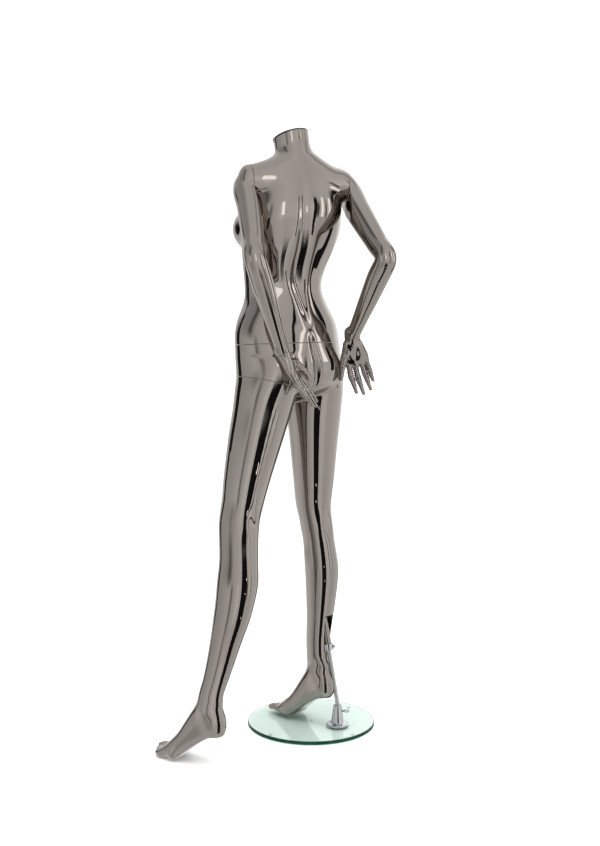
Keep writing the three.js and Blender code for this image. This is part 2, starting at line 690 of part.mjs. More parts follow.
// Shank with a ring for a head
function makeThumbScrew(screwWay) {
  const loop = new THREE.TorusGeometry(6, 1.7, 8, 20).rotateX(Math.PI / 2).translate(0, 0, 24.5);
  const shank = solidOf(rod(3, ROD_RADIUS + 0.6, 19, 14)).add(solidOf(loop));
  add('thumb_screw', shank.transform(screwWay.toArray()), BRIGHT);
}

// Bolt up through the glass into the flange, with its washer
function makeBolt() {
  const tip = ROD_REST - 2;
  const head = [[0, 0.6], [8, 0.6], [8, 1.8]];
  const shank = [[BOLT_RADIUS, 1.8], [BOLT_RADIUS, tip], [0, tip]];
  add('flange_bolt', solidOf(upright(turned([...head, ...shank]))), STEEL);
  add('flange_washer', solidOf(upright(tube(10.5, BOLT_HOLE, 2.1, 2.7))), STEEL);
}

function makeRod() {
  const lower = solidOf(upright(rod(ROD_RADIUS, ROD_REST + GAP, ROD_BEND[2])));
  const ball = new THREE.SphereGeometry(ROD_RADIUS, 16, 12).rotateX(Math.PI / 2);
  const elbow = solidOf(ball.translate(...ROD_BEND));
  const upper = solidOf(moved(rod(ROD_RADIUS, 0, ROD_TOP), rodFrame));
  add('support_rod', lower.add(elbow).add(upper), STEEL);
}

makeDisc();
makeBumpers();
makeFlange();
makeBolt();
makeRod();
makeCalfFitting();
makeLowerBody();
makeLeftLeg();
makeTorso();
makeArm('left', LEFT_ARM);
makeArm('right', RIGHT_ARM);
export default group;
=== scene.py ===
"""Looks for a headless display mannequin in smoked mirror chrome on a round glass base.

The figure is a set of smooth implicit forms, in millimetres. They are meshed here and cut at the seams.
"""

import math

import bmesh
import bpy
import numpy as np
from mathutils import Matrix, Vector


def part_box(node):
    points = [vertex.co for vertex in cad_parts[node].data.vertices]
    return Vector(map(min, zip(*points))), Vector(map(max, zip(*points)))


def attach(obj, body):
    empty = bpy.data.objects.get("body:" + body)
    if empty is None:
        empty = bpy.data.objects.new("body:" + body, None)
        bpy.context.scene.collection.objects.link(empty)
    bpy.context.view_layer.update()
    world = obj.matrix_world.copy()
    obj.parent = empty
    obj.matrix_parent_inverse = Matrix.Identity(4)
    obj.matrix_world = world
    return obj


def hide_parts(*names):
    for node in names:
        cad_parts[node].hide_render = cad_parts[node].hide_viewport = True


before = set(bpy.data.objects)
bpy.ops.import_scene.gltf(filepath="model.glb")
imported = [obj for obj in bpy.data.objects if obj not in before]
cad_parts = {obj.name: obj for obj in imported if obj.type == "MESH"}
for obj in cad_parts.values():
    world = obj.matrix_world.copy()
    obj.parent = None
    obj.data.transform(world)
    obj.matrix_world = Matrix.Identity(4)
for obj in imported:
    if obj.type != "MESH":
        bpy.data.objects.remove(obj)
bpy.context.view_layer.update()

SHELL_STEP = 3.0  # mesh spacing of the shells, mm
HAND_STEP = 1.8
SEAM_ROUND = 1.5  # rounding of every seam edge, mm
GAP = 0.3  # air at every seam, mm
MM = 0.001

# ---- seams and joints, mm ----
HIP_AT, HIP_WAY = (78, -12, 1055), (0.023, -0.023, 1)
THIGH_AT, THIGH_WAY = (163, -8, 946), (-0.268, 0.043, 1)
CROTCH_X = 94
TWIST_ROOM = 3  # room between the left thigh and the crotch
NECK_AT, NECK_WAY = (94, 15, 1614), (0.1, -0.29, 0.95)
SHOULDER_MID = np.array([82.0, 30.0, 1484.0])
SHOULDER_SEAM = 134
SHOULDER_TILT = np.array([0, 0, -0.06])
CHEST = math.radians(-27)
LEFTWARD = np.array([math.cos(CHEST), math.sin(CHEST), 0])
BACKWARD = np.array([-LEFTWARD[1], LEFTWARD[0], 0])
UP = np.array([0.0, 0.0, 1.0])

# Rows: height, centre x, centre y, half width, depth to the front, depth to the back, turn in degrees
TRUNK = [
    [897, 84, -4, 14, 22, 26, 0],
    [910, 83, -5, 60, 52, 62, -1],
    [930, 79, -7, 122, 82, 96, -2],
    [960, 77, -9, 152, 98, 110, -3],
    [1000, 76, -10, 163, 104, 112, -4],
    [1040, 77, -11, 162, 104, 108, -6],
    [1080, 78, -14, 159, 102, 104, -8],
    [1120, 79, -15, 146, 97, 99, -11],
    [1170, 81, -19, 119, 85, 87, -15],
    [1212, 88, -20, 110, 85, 77, -18],
    [1260, 90, -13, 116, 97, 80, -21],
    [1310, 88, -2, 128, 106, 90, -24],
    [1360, 85, 8, 136, 107, 98, -26],
    [1410, 84, 16, 134, 95, 98, -27],
    [1450, 83, 22, 126, 82, 88, -27],
    [1490, 82, 27, 110, 63, 72, -27],
    [1520, 83, 28, 80, 45, 55, -27],
    [1545, 84, 27, 50, 34, 40, -27],
]
NECK = [
    [1480, 82, 32, 74, 58, 60, -27],
    [1520, 84, 29, 65, 51, 53, -27],
    [1550, 87, 25, 53, 49, 49, -24],
    [1580, 91, 20, 49, 49, 48, -20],
    [1620, 94, 15, 49, 51, 50, -15],
    [1670, 98, 10, 50, 53, 51, -15],
]
# Along the shoulder line, right to left: distance, offset upward, offset backward,
# half height, depth to the front, depth to the back
GIRDLE = [
    [-171, -12, 4, 6, 6, 6],
    [-166, -11, 4, 22, 21, 21],
    [-152, -6, 3, 37, 33, 33],
    [-130, 4, 2, 43, 40, 42],
    [-95, 8, 2, 49, 44, 50],
    [-50, 24, 1, 58, 50, 58],
    [0, 40, 0, 64, 52, 60],
    [50, 27, 1, 57, 50, 58],
    [95, 12, 2, 49, 44, 50],
    [130, 5, 2, 44, 40, 42],
    [152, 2, 3, 42, 34, 34],
    [166, -2, 4, 29, 24, 24],
    [172, -3, 4, 6, 6, 6],
]
RIGHT_LEG = [
    [95, -2, 38, 20, 22, 30, 0],
    [120, -2, 36, 24, 30, 30, 0],
    [150, -2, 28, 25, 34, 31, 0],
    [190, -3, 22, 26, 33, 31, 0],
    [240, -5, 22, 31, 34, 33, 0],
    [290, -8, 25, 35, 36, 36, 0],
    [345, -9, 28, 40, 38, 42, 0],
    [400, -10, 30, 44, 42, 47, 0],
    [450, -11, 28, 46, 45, 49, 0],
    [510, -11, 19, 43, 43, 46, 0],
    [565, -11, 7, 45, 47, 46, 0],
    [610, -11, -1, 48, 51, 49, 0],
    [680, -12, -1, 56, 58, 56, 0],
    [790, -14, -2, 67, 70, 66, 0],
    [880, -15, -3, 77, 79, 77, 0],
    [950, -14, -5, 80, 84, 86, 0],
    [1010, -6, -9, 76, 80, 84, 0],
]
LEFT_LEG = [
    [82, 388, 32, 20, 22, 28, 14],
    [105, 389, 30, 24, 30, 29, 14],
    [140, 391, 28, 26, 35, 31, 14],
    [180, 383, 28, 28, 34, 33, 14],
    [205, 373, 30, 30, 34, 33, 14],
    [252, 357, 32, 34, 37, 37, 12],
    [300, 343, 35, 39, 41, 42, 10],
    [348, 330, 38, 45, 45, 50, 8],
    [397, 317, 39, 49, 49, 54, 7],
    [446, 305, 36, 52, 52, 56, 6],
    [496, 292, 26, 49, 50, 52, 5],
    [550, 277, 10, 50, 53, 51, 4],
    [596, 264, -1, 53, 57, 53, 3],
    [646, 248, -3, 55, 60, 55, 2],
    [697, 234, -5, 61, 65, 61, 0],
    [800, 203, -6, 72, 75, 72, 0],
    [880, 178, -6, 79, 81, 79, 0],
    [950, 162, -6, 82, 85, 87, 0],
    [1010, 152, -9, 76, 80, 84, 0],
]
BUSTS = [(136, -87, 1370), (17, -24, 1370)]
BUST_RADII = (57, 64, 60)
LEFT_ARM = {
    "elbow": (297, 94, 1268),
    "wrist": (205, 100, 1027),
    "tip": (130, 136, 888),
    "palm": (-0.5, 0.85, 0),
    "side": 1,
}
RIGHT_ARM = {
    "elbow": (-8, 266, 1276),
    "wrist": (-32, 125, 1073),
    "tip": (-88, 117, 917),
    "palm": (0.707, 0.707, 0),
    "side": -1,
}
# Half widths at the places that arm_line gives
ARM_SIZES = [
    (38, 38), (38, 40), (34, 37), (31, 34), (28, 31),
    (28, 30), (29, 30), (25, 26), (20, 21), (17.5, 17.5),
]
# Base, knuckle and tip of each finger in the hand's own frame (toward the thumb, out of the palm,
# toward the tips), then its radius
FINGERS = [
    ((25, 0, 58), (25, 3, 108), (19, 9, 156), 7.2),
    ((8, -1, 62), (6, 3, 114), (0, 9, 164), 7.2),
    ((-9, -1, 60), (-14, 3, 108), (-21, 9, 155), 6.9),
    ((-23, 0, 52), (-29, 3, 96), (-33, 8, 132), 6.1),
    ((18, 5, 14), (41, 11, 67), (53, 12, 108), 8.4),
]
# Distance from the wrist, half width, half thickness
PALM_ROWS = [
    (-14, 18, 17), (0, 20, 17), (12, 21, 16.5), (32, 28, 15), (54, 34, 13), (70, 34, 10), (79, 29, 6.5),
]
HAND_RELIEF = [
    ((15, 12, 32), (14, 14, 19), 5),
    ((-18, 10, 30), (13, 13, 22), 4),
    ((0, 14, 46), (11, 9, 15), -4),
]
TENDONS = (24, 8, -8, -21)
RIGHT_FOOT = {"heel": (2, 50, 13.6), "out": 1, "side": -1}
LEFT_FOOT = {"heel": (386, 42, 0.8), "out": 14, "side": 1}
# Along each foot: distance ahead of the heel, height, half width, half thickness
INSTEP = [
    (4, 158, 15, 20), (22, 122, 24, 38), (56, 80, 30, 36), (92, 46, 34, 26),
    (122, 25, 38, 20), (148, 14, 37, 12.5), (163, 11, 31, 9),
]
SHANK = [(-4, 98, 21, 24), (30, 74, 22, 20), (66, 50, 26, 18), (104, 22, 32, 17)]
# Heel and balls of the foot: distance ahead, to the inside, height, radii
PADS = [(-2, 0, 107, (26, 28, 36)), (118, -20, 17, (19, 21, 19)), (108, 20, 15, (19, 21, 17))]
# The sole's height above the floor, from behind the heel to past the toes
SOLE = [(-60, 79), (-20, 77), (10, 69), (45, 48), (78, 24), (102, 5), (118, 0), (150, 0), (230, 0)]
# Sideways place, reach ahead, radius
TOES = [(-20, 187, 10.5), (-4, 182, 8), (8, 175, 7.5), (19, 167, 7), (29, 158, 6.5)]
ANKLE_RELIEF = [
    ((14, 26, 130), (15, 15, 19), 2.5),
    ((16, -26, 136), (15, 15, 19), 2.5),
    ((-12, 22, 160), (15, 15, 36), -1.5),
    ((-12, -22, 162), (15, 15, 36), -1.5),
]
SPINE = [(1480, 6), (1430, 4), (1380, 0), (1310, -3), (1240, 0), (1170, 0), (1110, 0)]
CLEFT = [1075, 1040, 1000, 950, 915]
# Widths over which the forms blend into each other
NECK_BLEND, SHOULDER_BLEND, BUST_BLEND, LEG_BLEND, FOOT_BLEND = 26, 30, 38, 22, 26
ARM_ROOM = 1.6  # between an upper arm and the ribs, below the armpit
ARMPIT_HEIGHT = 1436


# ---- implicit forms ----
def unit(v):
    v = np.asarray(v, float)
    return v / np.linalg.norm(v)


def flat_ways(turn):
    """The level directions to the left and to the back, at a turn in degrees."""
    t = math.radians(turn)
    return np.array([math.cos(t), math.sin(t), 0]), np.array([-math.sin(t), math.cos(t), 0])


def smin(a, b, k):
    """The lesser of two distances, blended smoothly over k."""
    h = np.maximum(k - np.abs(a - b), 0) / k
    return np.minimum(a, b) - h * h * h * k / 6


def smax(a, b, k):
    return -smin(-a, -b, k)


def curve_rows(rows, places):
    """Smooth curve through rows whose first number is the place along it."""
    rows = np.asarray(rows, float)
    s, v = rows[:, 0], rows[:, 1:]
    k = np.clip(np.searchsorted(s, places, side="right") - 1, 0, len(s) - 2)
    before, after = np.maximum(k - 1, 0), np.minimum(k + 2, len(s) - 1)
    span = s[k + 1] - s[k]
    t = ((places - s[k]) / span)[:, None]
    start = (v[k + 1] - v[before]) * (span / (s[k + 1] - s[before]))[:, None]
    end = (v[after] - v[k]) * (span / (s[after] - s[k]))[:, None]
    rise = v[k + 1] - v[k]
    return v[k] + t * (start + t * (3 * rise - 2 * start - end + t * (start + end - 2 * rise)))


def softened(values, sigma):
    """Gaussian smoothing down the rows, which keeps the end rows' slope."""
    n = int(3 * sigma)
    kernel = np.exp(-0.5 * (np.arange(-n, n + 1) / sigma) ** 2)
    kernel /= kernel.sum()
    out = np.empty_like(values)
    for c in range(values.shape[1]):
        col = values[:, c]
        low = 2 * col[0] - col[n:0:-1]
        high = 2 * col[-1] - col[-2 : -n - 2 : -1]
        out[:, c] = np.convolve(np.concatenate([low, col, high]), kernel, "valid")
    return out


class Form:
    """An implicit form that is only worked out within reach of its box."""

    reach = 45.0

    def __call__(self, p):
        near = np.all((p > self.low - self.reach) & (p < self.high + self.reach), axis=1)
        out = np.full(len(p), self.reach)
        if near.any():
            out[near] = self.field(p[near])
        return out


def oval_distance(x, y, a, front, back):
    reach = np.hypot(x, y) + 1e-6
    share = 0.5 + 0.5 * y / reach
    depth = front + (back - front) * share
    return reach * (1 - 1 / np.maximum(np.hypot(x / a, y / depth), 1e-6))


class Tower(Form):
    """Ovals stacked along an axis."""

    def __init__(self, rows, origin=(0, 0, 0), axes=None, sigma=9, ends=8):
        self.origin = np.asarray(origin, float)
        self.axes = np.eye(3) if axes is None else np.asarray(axes, float)
        self.start, self.stop = rows[0][0], rows[-1][0]
        places = np.arange(self.start, self.stop + 1.0, 1.0)
        rows = [list(r) + [0] * (7 - len(r)) for r in rows]
        self.table = softened(curve_rows(rows, np.minimum(places, self.stop)), sigma)
        self.table[:, 2:5] = np.maximum(self.table[:, 2:5], 3)
        self.ends = ends
        wide = self.table[:, 2:5].max(1)
        centre = np.column_stack([self.table[:, 0], self.table[:, 1], places])
        world = self.origin + centre @ self.axes
        self.low, self.high = (world - wide[:, None]).min(0), (world + wide[:, None]).max(0)

    def field(self, p):
        q = (p - self.origin) @ self.axes.T
        place = np.clip(q[:, 2] - self.start, 0, len(self.table) - 1.001)
        k = place.astype(int)
        f = (place - k)[:, None]
        row = self.table[k] * (1 - f) + self.table[k + 1] * f
        x, y = q[:, 0] - row[:, 0], q[:, 1] - row[:, 1]
        spin = np.radians(row[:, 5])
        c, s = np.cos(spin), np.sin(spin)
        side = oval_distance(x * c + y * s, y * c - x * s, row[:, 2], row[:, 3], row[:, 4])
        end = np.maximum(self.start - q[:, 2], q[:, 2] - self.stop)
        return smax(side, end, self.ends)


class Limb(Form):
    """An oval swept along a smooth line, with rounded ends."""

    def __init__(self, points, sizes, across, sigma=4, reach=45.0):
        self.reach = reach
        points = np.asarray(points, float)
        lengths = np.concatenate([[0], np.cumsum(np.linalg.norm(np.diff(points, axis=0), axis=1))])
        rows = np.column_stack([lengths, points, np.asarray(sizes, float)])
        places = np.arange(0, lengths[-1], 1.0)
        table = curve_rows(rows, places)
        if len(table) > 6 * sigma + 4:
            table = softened(table, sigma)
        self.line, self.size = table[:, :3], np.maximum(table[:, 3:], 0.8)
        way = np.gradient(self.line, axis=0)
        self.way = way / np.linalg.norm(way, axis=1)[:, None]
        depth = np.cross(self.way, across)
        self.depth = depth / np.linalg.norm(depth, axis=1)[:, None]
        self.across = np.cross(self.depth, self.way)
        wide = self.size.max(1)[:, None]
        self.low, self.high = (self.line - wide).min(0), (self.line + wide).max(0)

    def field(self, p):
        out = np.empty(len(p))
        for i in range(0, len(p), 60000):
            out[i : i + 60000] = self.part(p[i : i + 60000])
        return out

    def part(self, p):
        """Finds the nearest place on the line, then the distance to the oval there."""
        stride = 6
        knots = self.line[::stride]
        apart = (p * p).sum(1)[:, None] - 2 * p @ knots.T + (knots * knots).sum(1)
        last = len(self.line) - 1.001
        s = np.minimum(apart.argmin(1) * stride, last)
        for _ in range(4):
            k = s.astype(int)
            f = (s - k)[:, None]
            at = self.line[k] * (1 - f) + self.line[k + 1] * f
            way = self.way[k] * (1 - f) + self.way[k + 1] * f
            s = np.clip(s + ((p - at) * way).sum(1), 0, last)
        k = s.astype(int)
        f = (s - k)[:, None]

        def mix(values):
            return values[k] * (1 - f) + values[k + 1] * f

        rel = p - mix(self.line)
        size = mix(self.size)
        u = (rel * mix(self.across)).sum(1)
        v = (rel * mix(self.depth)).sum(1)
        w = (rel * mix(self.way)).sum(1)
        far = np.sqrt(u * u + v * v + w * w) + 1e-6
        round_end = size.min(1)
        ratio = np.sqrt((u / size[:, 0]) ** 2 + (v / size[:, 1]) ** 2 + (w / round_end) ** 2)
        return far * (1 - 1 / np.maximum(ratio, 1e-6))


class Ball(Form):
    """An ellipsoid turned about the vertical."""

    def __init__(self, centre, radii, turn=0.0):
        self.centre, self.radii = np.asarray(centre, float), np.asarray(radii, float)
        c, s = math.cos(turn), math.sin(turn)
        self.axes = np.array([[c, s, 0], [-s, c, 0], [0, 0, 1]])
        self.low, self.high = self.centre - max(radii), self.centre + max(radii)

    def field(self, p):
        q = (p - self.centre) @ self.axes.T
        far = np.linalg.norm(q, axis=1) + 1e-6
        return far * (1 - 1 / np.maximum(np.linalg.norm(q / self.radii, axis=1), 1e-6))


class Relief:
    """Soft swellings and hollows: each is a line of points, a spread and a rise in mm."""

    def __init__(self, marks):
        self.marks = []
        for points, spread, rise in marks:
            points = np.atleast_2d(np.asarray(points, float))
            if len(points) > 1:
                lengths = np.linalg.norm(np.diff(points, axis=0), axis=1)
                places = np.concatenate([[0], np.cumsum(lengths)])
                fine = np.linspace(0, places[-1], max(4, int(places[-1] / 4)))
                points = curve_rows(np.column_stack([places, points]), fine)
                fade = np.sin(np.linspace(0.25, np.pi - 0.25, len(points)))
            else:
                fade = np.ones(1)
            self.marks.append((points, np.broadcast_to(np.asarray(spread, float), 3), rise * fade))

    def __call__(self, p):
        total = np.zeros(len(p))
        for points, spread, rise in self.marks:
            reach = 2.6 * spread
            near = np.all((p > points.min(0) - reach) & (p < points.max(0) + reach), axis=1)
            if not near.any():
                continue
            q = p[near]
            best = np.full(len(q), 1e9)
            height = np.zeros(len(q))
            for point, up in zip(points, rise, strict=True):
                d = (((q - point) / spread) ** 2).sum(1)
                closer = d < best
                best = np.where(closer, d, best)
                height = np.where(closer, up, height)
            total[near] += height * np.exp(-best)
        return total


def union(k, *forms):
    def field(p):
        out = forms[0](p)
        for form in forms[1:]:
            out = smin(out, form(p), k)
        return out

    return field


# ---- the forms of the figure ----
def hand_place(arm):
    along = unit(np.subtract(arm["tip"], arm["wrist"]))
    out = np.array(arm["palm"], float)
    out = unit(out - out.dot(along) * along)
    across = np.cross(out, along)

    def place(x, y, z):
        return np.array(arm["wrist"], float) + arm["side"] * x * across + y * out + z * along

    return place, along, across, out


def finger(place, across, base, knuckle, tip, r):
    b, k, t = (place(*x) for x in (base, knuckle, tip))
    line = [b, b + (k - b) * 0.55, k, k + (t - k) * 0.55, t]
    shares = [(1.12, 1.05), (0.98, 0.92), (1.02, 0.98), (0.9, 0.84), (0.72, 0.6)]
    return Limb(line, [(r * wide, r * deep) for wide, deep in shares], across, sigma=2.5, reach=18)


def arm_line(arm):
    """Places along an arm, from inside the shoulder to the wrist."""
    inside = SHOULDER_MID + LEFTWARD * arm["side"] * 106
    cap = SHOULDER_MID + LEFTWARD * arm["side"] * 140
    cap[2] -= 12
    bend, end = np.array(arm["elbow"], float), np.array(arm["wrist"], float)
    upper = [cap + (bend - cap) * t for t in (0.3, 0.55, 0.8)]
    lower = [bend + (end - bend) * t for t in (0.22, 0.5, 0.78)]
    return [inside, cap, *upper, bend, *lower, end]


def arm_forms(arm):
    place, along, across, out = hand_place(arm)
    shoulder = SHOULDER_MID + LEFTWARD * arm["side"] * 150
    upper = np.subtract(arm["elbow"], shoulder)
    axis = unit(np.cross(upper, np.subtract(arm["wrist"], arm["elbow"])))
    limb = Limb(arm_line(arm), ARM_SIZES, axis, sigma=9)
    points = [place(1, 0, z) for z, _, _ in PALM_ROWS]
    palm = Limb(points, [row[1:] for row in PALM_ROWS], across, sigma=4)
    joints = union(5, *[finger(place, across, *row) for row in FINGERS])
    wrist_bone = np.array(arm["wrist"]) - along * 14 - out * 13 - across * arm["side"] * 13
    relief = Relief([
        *[(place(*at), spread, rise) for at, spread, rise in HAND_RELIEF],
        *[((place(x, -9, 60), place(x * 0.5, -11, 20)), (3.4, 3.4, 3.4), 1.3) for x in TENDONS],
        *[(place(*knuckle), (6, 6, 6), 0.8) for _, knuckle, _, _ in FINGERS],
        (np.array(arm["elbow"]) + unit(upper) * 14, (15, 15, 15), 3.5),
        (wrist_bone, (8, 8, 9), 3),
    ])

    def whole(p):
        near_hand = smin(palm(p), joints(p), 6)
        return smin(smin(limb(p), girdle(p), 14), near_hand, 9) - relief(p)

    return whole, limb


def foot_forms(foot):
    aside, rear = flat_ways(foot["out"])
    ahead, aside = -rear, aside * foot["side"]

    def place(a, b, h):
        return np.array(foot["heel"], float) + ahead * a + aside * b + UP * h

    def middle_limb(rows):
        points = [place(row[0], 0, row[1]) for row in rows]
        return Limb(points, [row[2:] for row in rows], aside, sigma=6)

    pads = [Ball(place(a, b, h), radii, CHEST) for a, b, h, radii in PADS]
    toes = []
    for b, reach, r in TOES:
        ends = [place(reach - back, b, r + up) for back, up in ((17, 3.5), (7, 0.5), (0, 0))]
        sizes = [(r, r), (r * 0.95, r * 0.9), (r * 0.95, r * 0.86), (r * 0.7, r * 0.62)]
        toes.append(Limb([place(138, b * 0.9, r + 3), *ends], sizes, aside, sigma=2, reach=16))
    body = union(20, middle_limb(INSTEP), middle_limb(SHANK), *pads)
    tips = union(3, *toes)
    relief = Relief([(place(*at), spread, rise) for at, spread, rise in ANKLE_RELIEF])

    def whole(p):
        form = smin(body(p), tips(p), 6)
        rel = p - foot["heel"]
        sole = curve_rows(SOLE, rel @ ahead)[:, 0]
        return smax(form, (sole - rel[:, 2]) * 0.85, 5)

    return whole, relief


def on_trunk(z, shift, way=1, bow=1):
    """A point on the trunk at a height, shifted to the left; way is 1 on the back and -1 on the front.

    With bow 0 the shift runs straight aside instead of round the trunk.
    """
    x, y, half, front, back, turn = curve_rows(TRUNK, np.array([float(z)]))[0]
    side, rear = flat_ways(turn)
    depth = (front if way < 0 else back) * math.sqrt(max(0.05, 1 - bow * (shift / half) ** 2))
    return np.array([x, y, z]) + side * shift + rear * depth * way


def back_relief():
    """Spine, shoulder blades, navel, breastbone and belly, then what lies on both sides."""
    marks = [
        ([on_trunk(z, shift, bow=0) for z, shift in SPINE], (11, 11, 12), -7),
        (on_trunk(1425, -66), (50, 50, 72), 5),
        (on_trunk(1425, 74), (50, 50, 72), 5),
        (on_trunk(1140, 0, -1), (7, 7, 7), -6),
        ([on_trunk(z, 0, -1) for z in (1300, 1220, 1165)], (14, 14, 14), -3),
        (on_trunk(1085, 0, -1), (60, 50, 45), 5),
    ]
    for side in (-1, 1):
        muscle = [on_trunk(z, side * shift) for z, shift in ((1345, 40), (1250, 38), (1160, 30))]
        collar_bone = [on_trunk(z, side * shift, -1) for z, shift in ((1500, 100), (1508, 60), (1502, 22))]
        marks.append((muscle, (17, 17, 19), 4.5))
        marks.append((on_trunk(1098, side * 30), (16, 16, 16), -0.8))
        marks.append((collar_bone, (9, 9, 8), 4))
    return Relief(marks)


def hip_relief():
    marks = [([on_trunk(z, 0) for z in CLEFT], (8, 10, 10), -11)]
    for side in (-1, 1):
        fold = [on_trunk(z, side * shift) for z, shift in ((914, 125), (905, 80), (908, 30))]
        marks.append((on_trunk(985, side * 74), (62, 56, 62), 12))
        marks.append((fold, (13, 13, 10), -5))
    return Relief(marks)


def knee_relief(cx, cy, z, front, back, turn):
    """Kneecap, the shin below it, the hollow behind, and what lies on both sides."""
    aside, rear = flat_ways(turn)
    cap = np.array([cx, cy, z]) - rear * front
    hollow = np.array([cx, cy, z]) + rear * back
    marks = [
        (cap, (22, 18, 26), 5),
        (cap - UP * 42, (16, 14, 20), 2.5),
        (hollow, (17, 15, 30), -3),
        ((hollow - UP * 85, hollow + rear * 4 - UP * 190), (13, 13, 13), -1.5),
    ]
    for side in (aside, -aside):
        tendon = (hollow + side * 17 + UP * 45, hollow + side * 20 - UP * 30)
        marks.append((cap + rear * 8 + side * 26 + UP * 8, (11, 11, 22), -3.5))
        marks.append((tendon, (13, 13, 13), 2.2))
    return Relief(marks)


trunk = Tower(TRUNK, sigma=10)
neck = Tower(NECK, sigma=8)
girdle = Tower(GIRDLE, origin=SHOULDER_MID, axes=[UP, BACKWARD, LEFTWARD], sigma=6)
right_leg = Tower(RIGHT_LEG, sigma=10)
left_leg = Tower(LEFT_LEG, sigma=10)
busts = [Ball(c, BUST_RADII, CHEST) for c in BUSTS]
right_foot, right_foot_relief = foot_forms(RIGHT_FOOT)
left_foot, left_foot_relief = foot_forms(LEFT_FOOT)
left_arm, left_limb = arm_forms(LEFT_ARM)
right_arm, right_limb = arm_forms(RIGHT_ARM)

BACK_RELIEF = back_relief()
HIP_RELIEF = hip_relief()
RIGHT_KNEE = knee_relief(-11, 8, 560, 46, 45, 0)
LEFT_KNEE = knee_relief(270, 4, 590, 56, 52, 3)


def upper_field(p):
    form = smin(trunk(p), neck(p), NECK_BLEND)
    form = smin(form, girdle(p), SHOULDER_BLEND)
    for bust in busts:
        form = smin(form, bust(p), BUST_BLEND)
    return form - BACK_RELIEF(p) - HIP_RELIEF(p)


def shoulder_seam(side):
    return SHOULDER_MID + LEFTWARD * side * SHOULDER_SEAM, LEFTWARD * side + SHOULDER_TILT


def clear_of_arm(p, limb, side):
    """Distance into the room that an upper arm needs beside the ribs."""
    at, way = shoulder_seam(side)
    beyond = (p - at) @ way + 0.6
    return smax(smax(limb(p) - ARM_ROOM, -beyond, 2), p[:, 2] - ARMPIT_HEIGHT, 4)


def torso_field(p):
    form = upper_field(p)
    form = smax(form, -clear_of_arm(p, left_limb, 1), 3)
    return smax(form, -clear_of_arm(p, right_limb, -1), 3)


def leg_field(p, form, knee, foot, foot_relief):
    """A form with the relief of the trunk, of one knee and of one foot, and with that foot."""
    form = form - BACK_RELIEF(p) - HIP_RELIEF(p) - knee(p) - foot_relief(p)
    return smin(form, foot(p), FOOT_BLEND)


def hip_field(p):
    form = smin(smin(trunk(p), right_leg(p), LEG_BLEND), left_leg(p), LEG_BLEND)
    return leg_field(p, form, RIGHT_KNEE, right_foot, right_foot_relief)


def left_leg_field(p):
    form = smin(trunk(p), left_leg(p), LEG_BLEND)
    return leg_field(p, form, LEFT_KNEE, left_foot, left_foot_relief)


# ---- meshing ----
CORNERS = [(i, j, k) for i in (0, 1) for j in (0, 1) for k in (0, 1)]


def grid_values(field, low, counts, step):
    """Field values at the grid's nodes, worked out only in blocks near the surface."""
    block = 4
    axes = [low[i] + step * np.arange(counts[i]) for i in range(3)]
    coarse = np.stack(np.meshgrid(*[a[::block] for a in axes], indexing="ij"), -1)
    shape = coarse.shape[:3]
    rough = field(coarse.reshape(-1, 3)).reshape(shape)
    inner = tuple(n - 1 for n in shape)
    near = np.zeros(inner, bool)
    for i, j, k in CORNERS:
        corner = rough[i : inner[0] + i, j : inner[1] + j, k : inner[2] + k]
        near |= np.abs(corner) < block * step * 1.9
    mask = np.zeros(counts, bool)
    spread = near.repeat(block, 0).repeat(block, 1).repeat(block, 2)
    a, b, c = spread.shape
    for i, j, k in CORNERS:
        mask[i : a + i, j : b + j, k : c + k] |= spread
    places = [np.arange(n) // block for n in counts]
    values = rough[np.ix_(*places)].copy()
    index = np.argwhere(mask)
    points = low + step * index
    found = np.empty(len(points))
    for i in range(0, len(points), 200000):
        found[i : i + 200000] = field(points[i : i + 200000])
    values[mask] = found
    for axis in range(3):
        edge = np.moveaxis(values, axis, 0)
        edge[0], edge[-1] = step, step
    return values


def surface_net(values, low, step):
    """Quads through the cells that the surface crosses."""
    inside = values < 0
    n = [s - 1 for s in values.shape]
    count = np.zeros(n, np.int8)
    for i, j, k in CORNERS:
        count += inside[i : n[0] + i, j : n[1] + j, k : n[2] + k]
    cells = np.argwhere((count > 0) & (count < 8))
    number = np.full(n, -1)
    number[tuple(cells.T)] = np.arange(len(cells))
    total = np.zeros((len(cells), 3))
    hits = np.zeros(len(cells))
    for axis in range(3):
        step_way = np.eye(3, dtype=int)[axis]
        for corner in CORNERS:
            if corner[axis]:
                continue
            a = cells + corner
            b = a + step_way
            va, vb = values[tuple(a.T)], values[tuple(b.T)]
            crosses = (va < 0) != (vb < 0)
            t = np.where(crosses, va / np.where(crosses, va - vb, 1), 0)
            total += np.where(crosses[:, None], a + t[:, None] * step_way, 0)
            hits += crosses
    points = low + step * total / hits[:, None]
    quads = []
    for axis in range(3):
        u, v = (axis + 1) % 3, (axis + 2) % 3
        step_way, du, dv = np.eye(3, dtype=int)[[axis, u, v]]
        first = inside[tuple(slice(0, -1) if d == axis else slice(1, -1) for d in range(3))]
        second = inside[tuple(slice(1, None) if d == axis else slice(1, -1) for d in range(3))]
        at = np.argwhere(first != second) + du + dv
        out = inside[tuple(at.T)]
        quad = np.column_stack([number[tuple((at - x).T)] for x in (0 * du, du, du + dv, dv)])
        quads.append(np.where(out[:, None], quad, quad[:, ::-1]))
    return points, np.concatenate(quads)


def slope(field, p, reach=1.2):
    """The field's gradient, by differences over a reach."""
    g = np.empty_like(p)
    for i in range(3):
        d = np.zeros(3)
        d[i] = reach
        g[:, i] = (field(p + d) - field(p - d)) / (2 * reach)
    return g


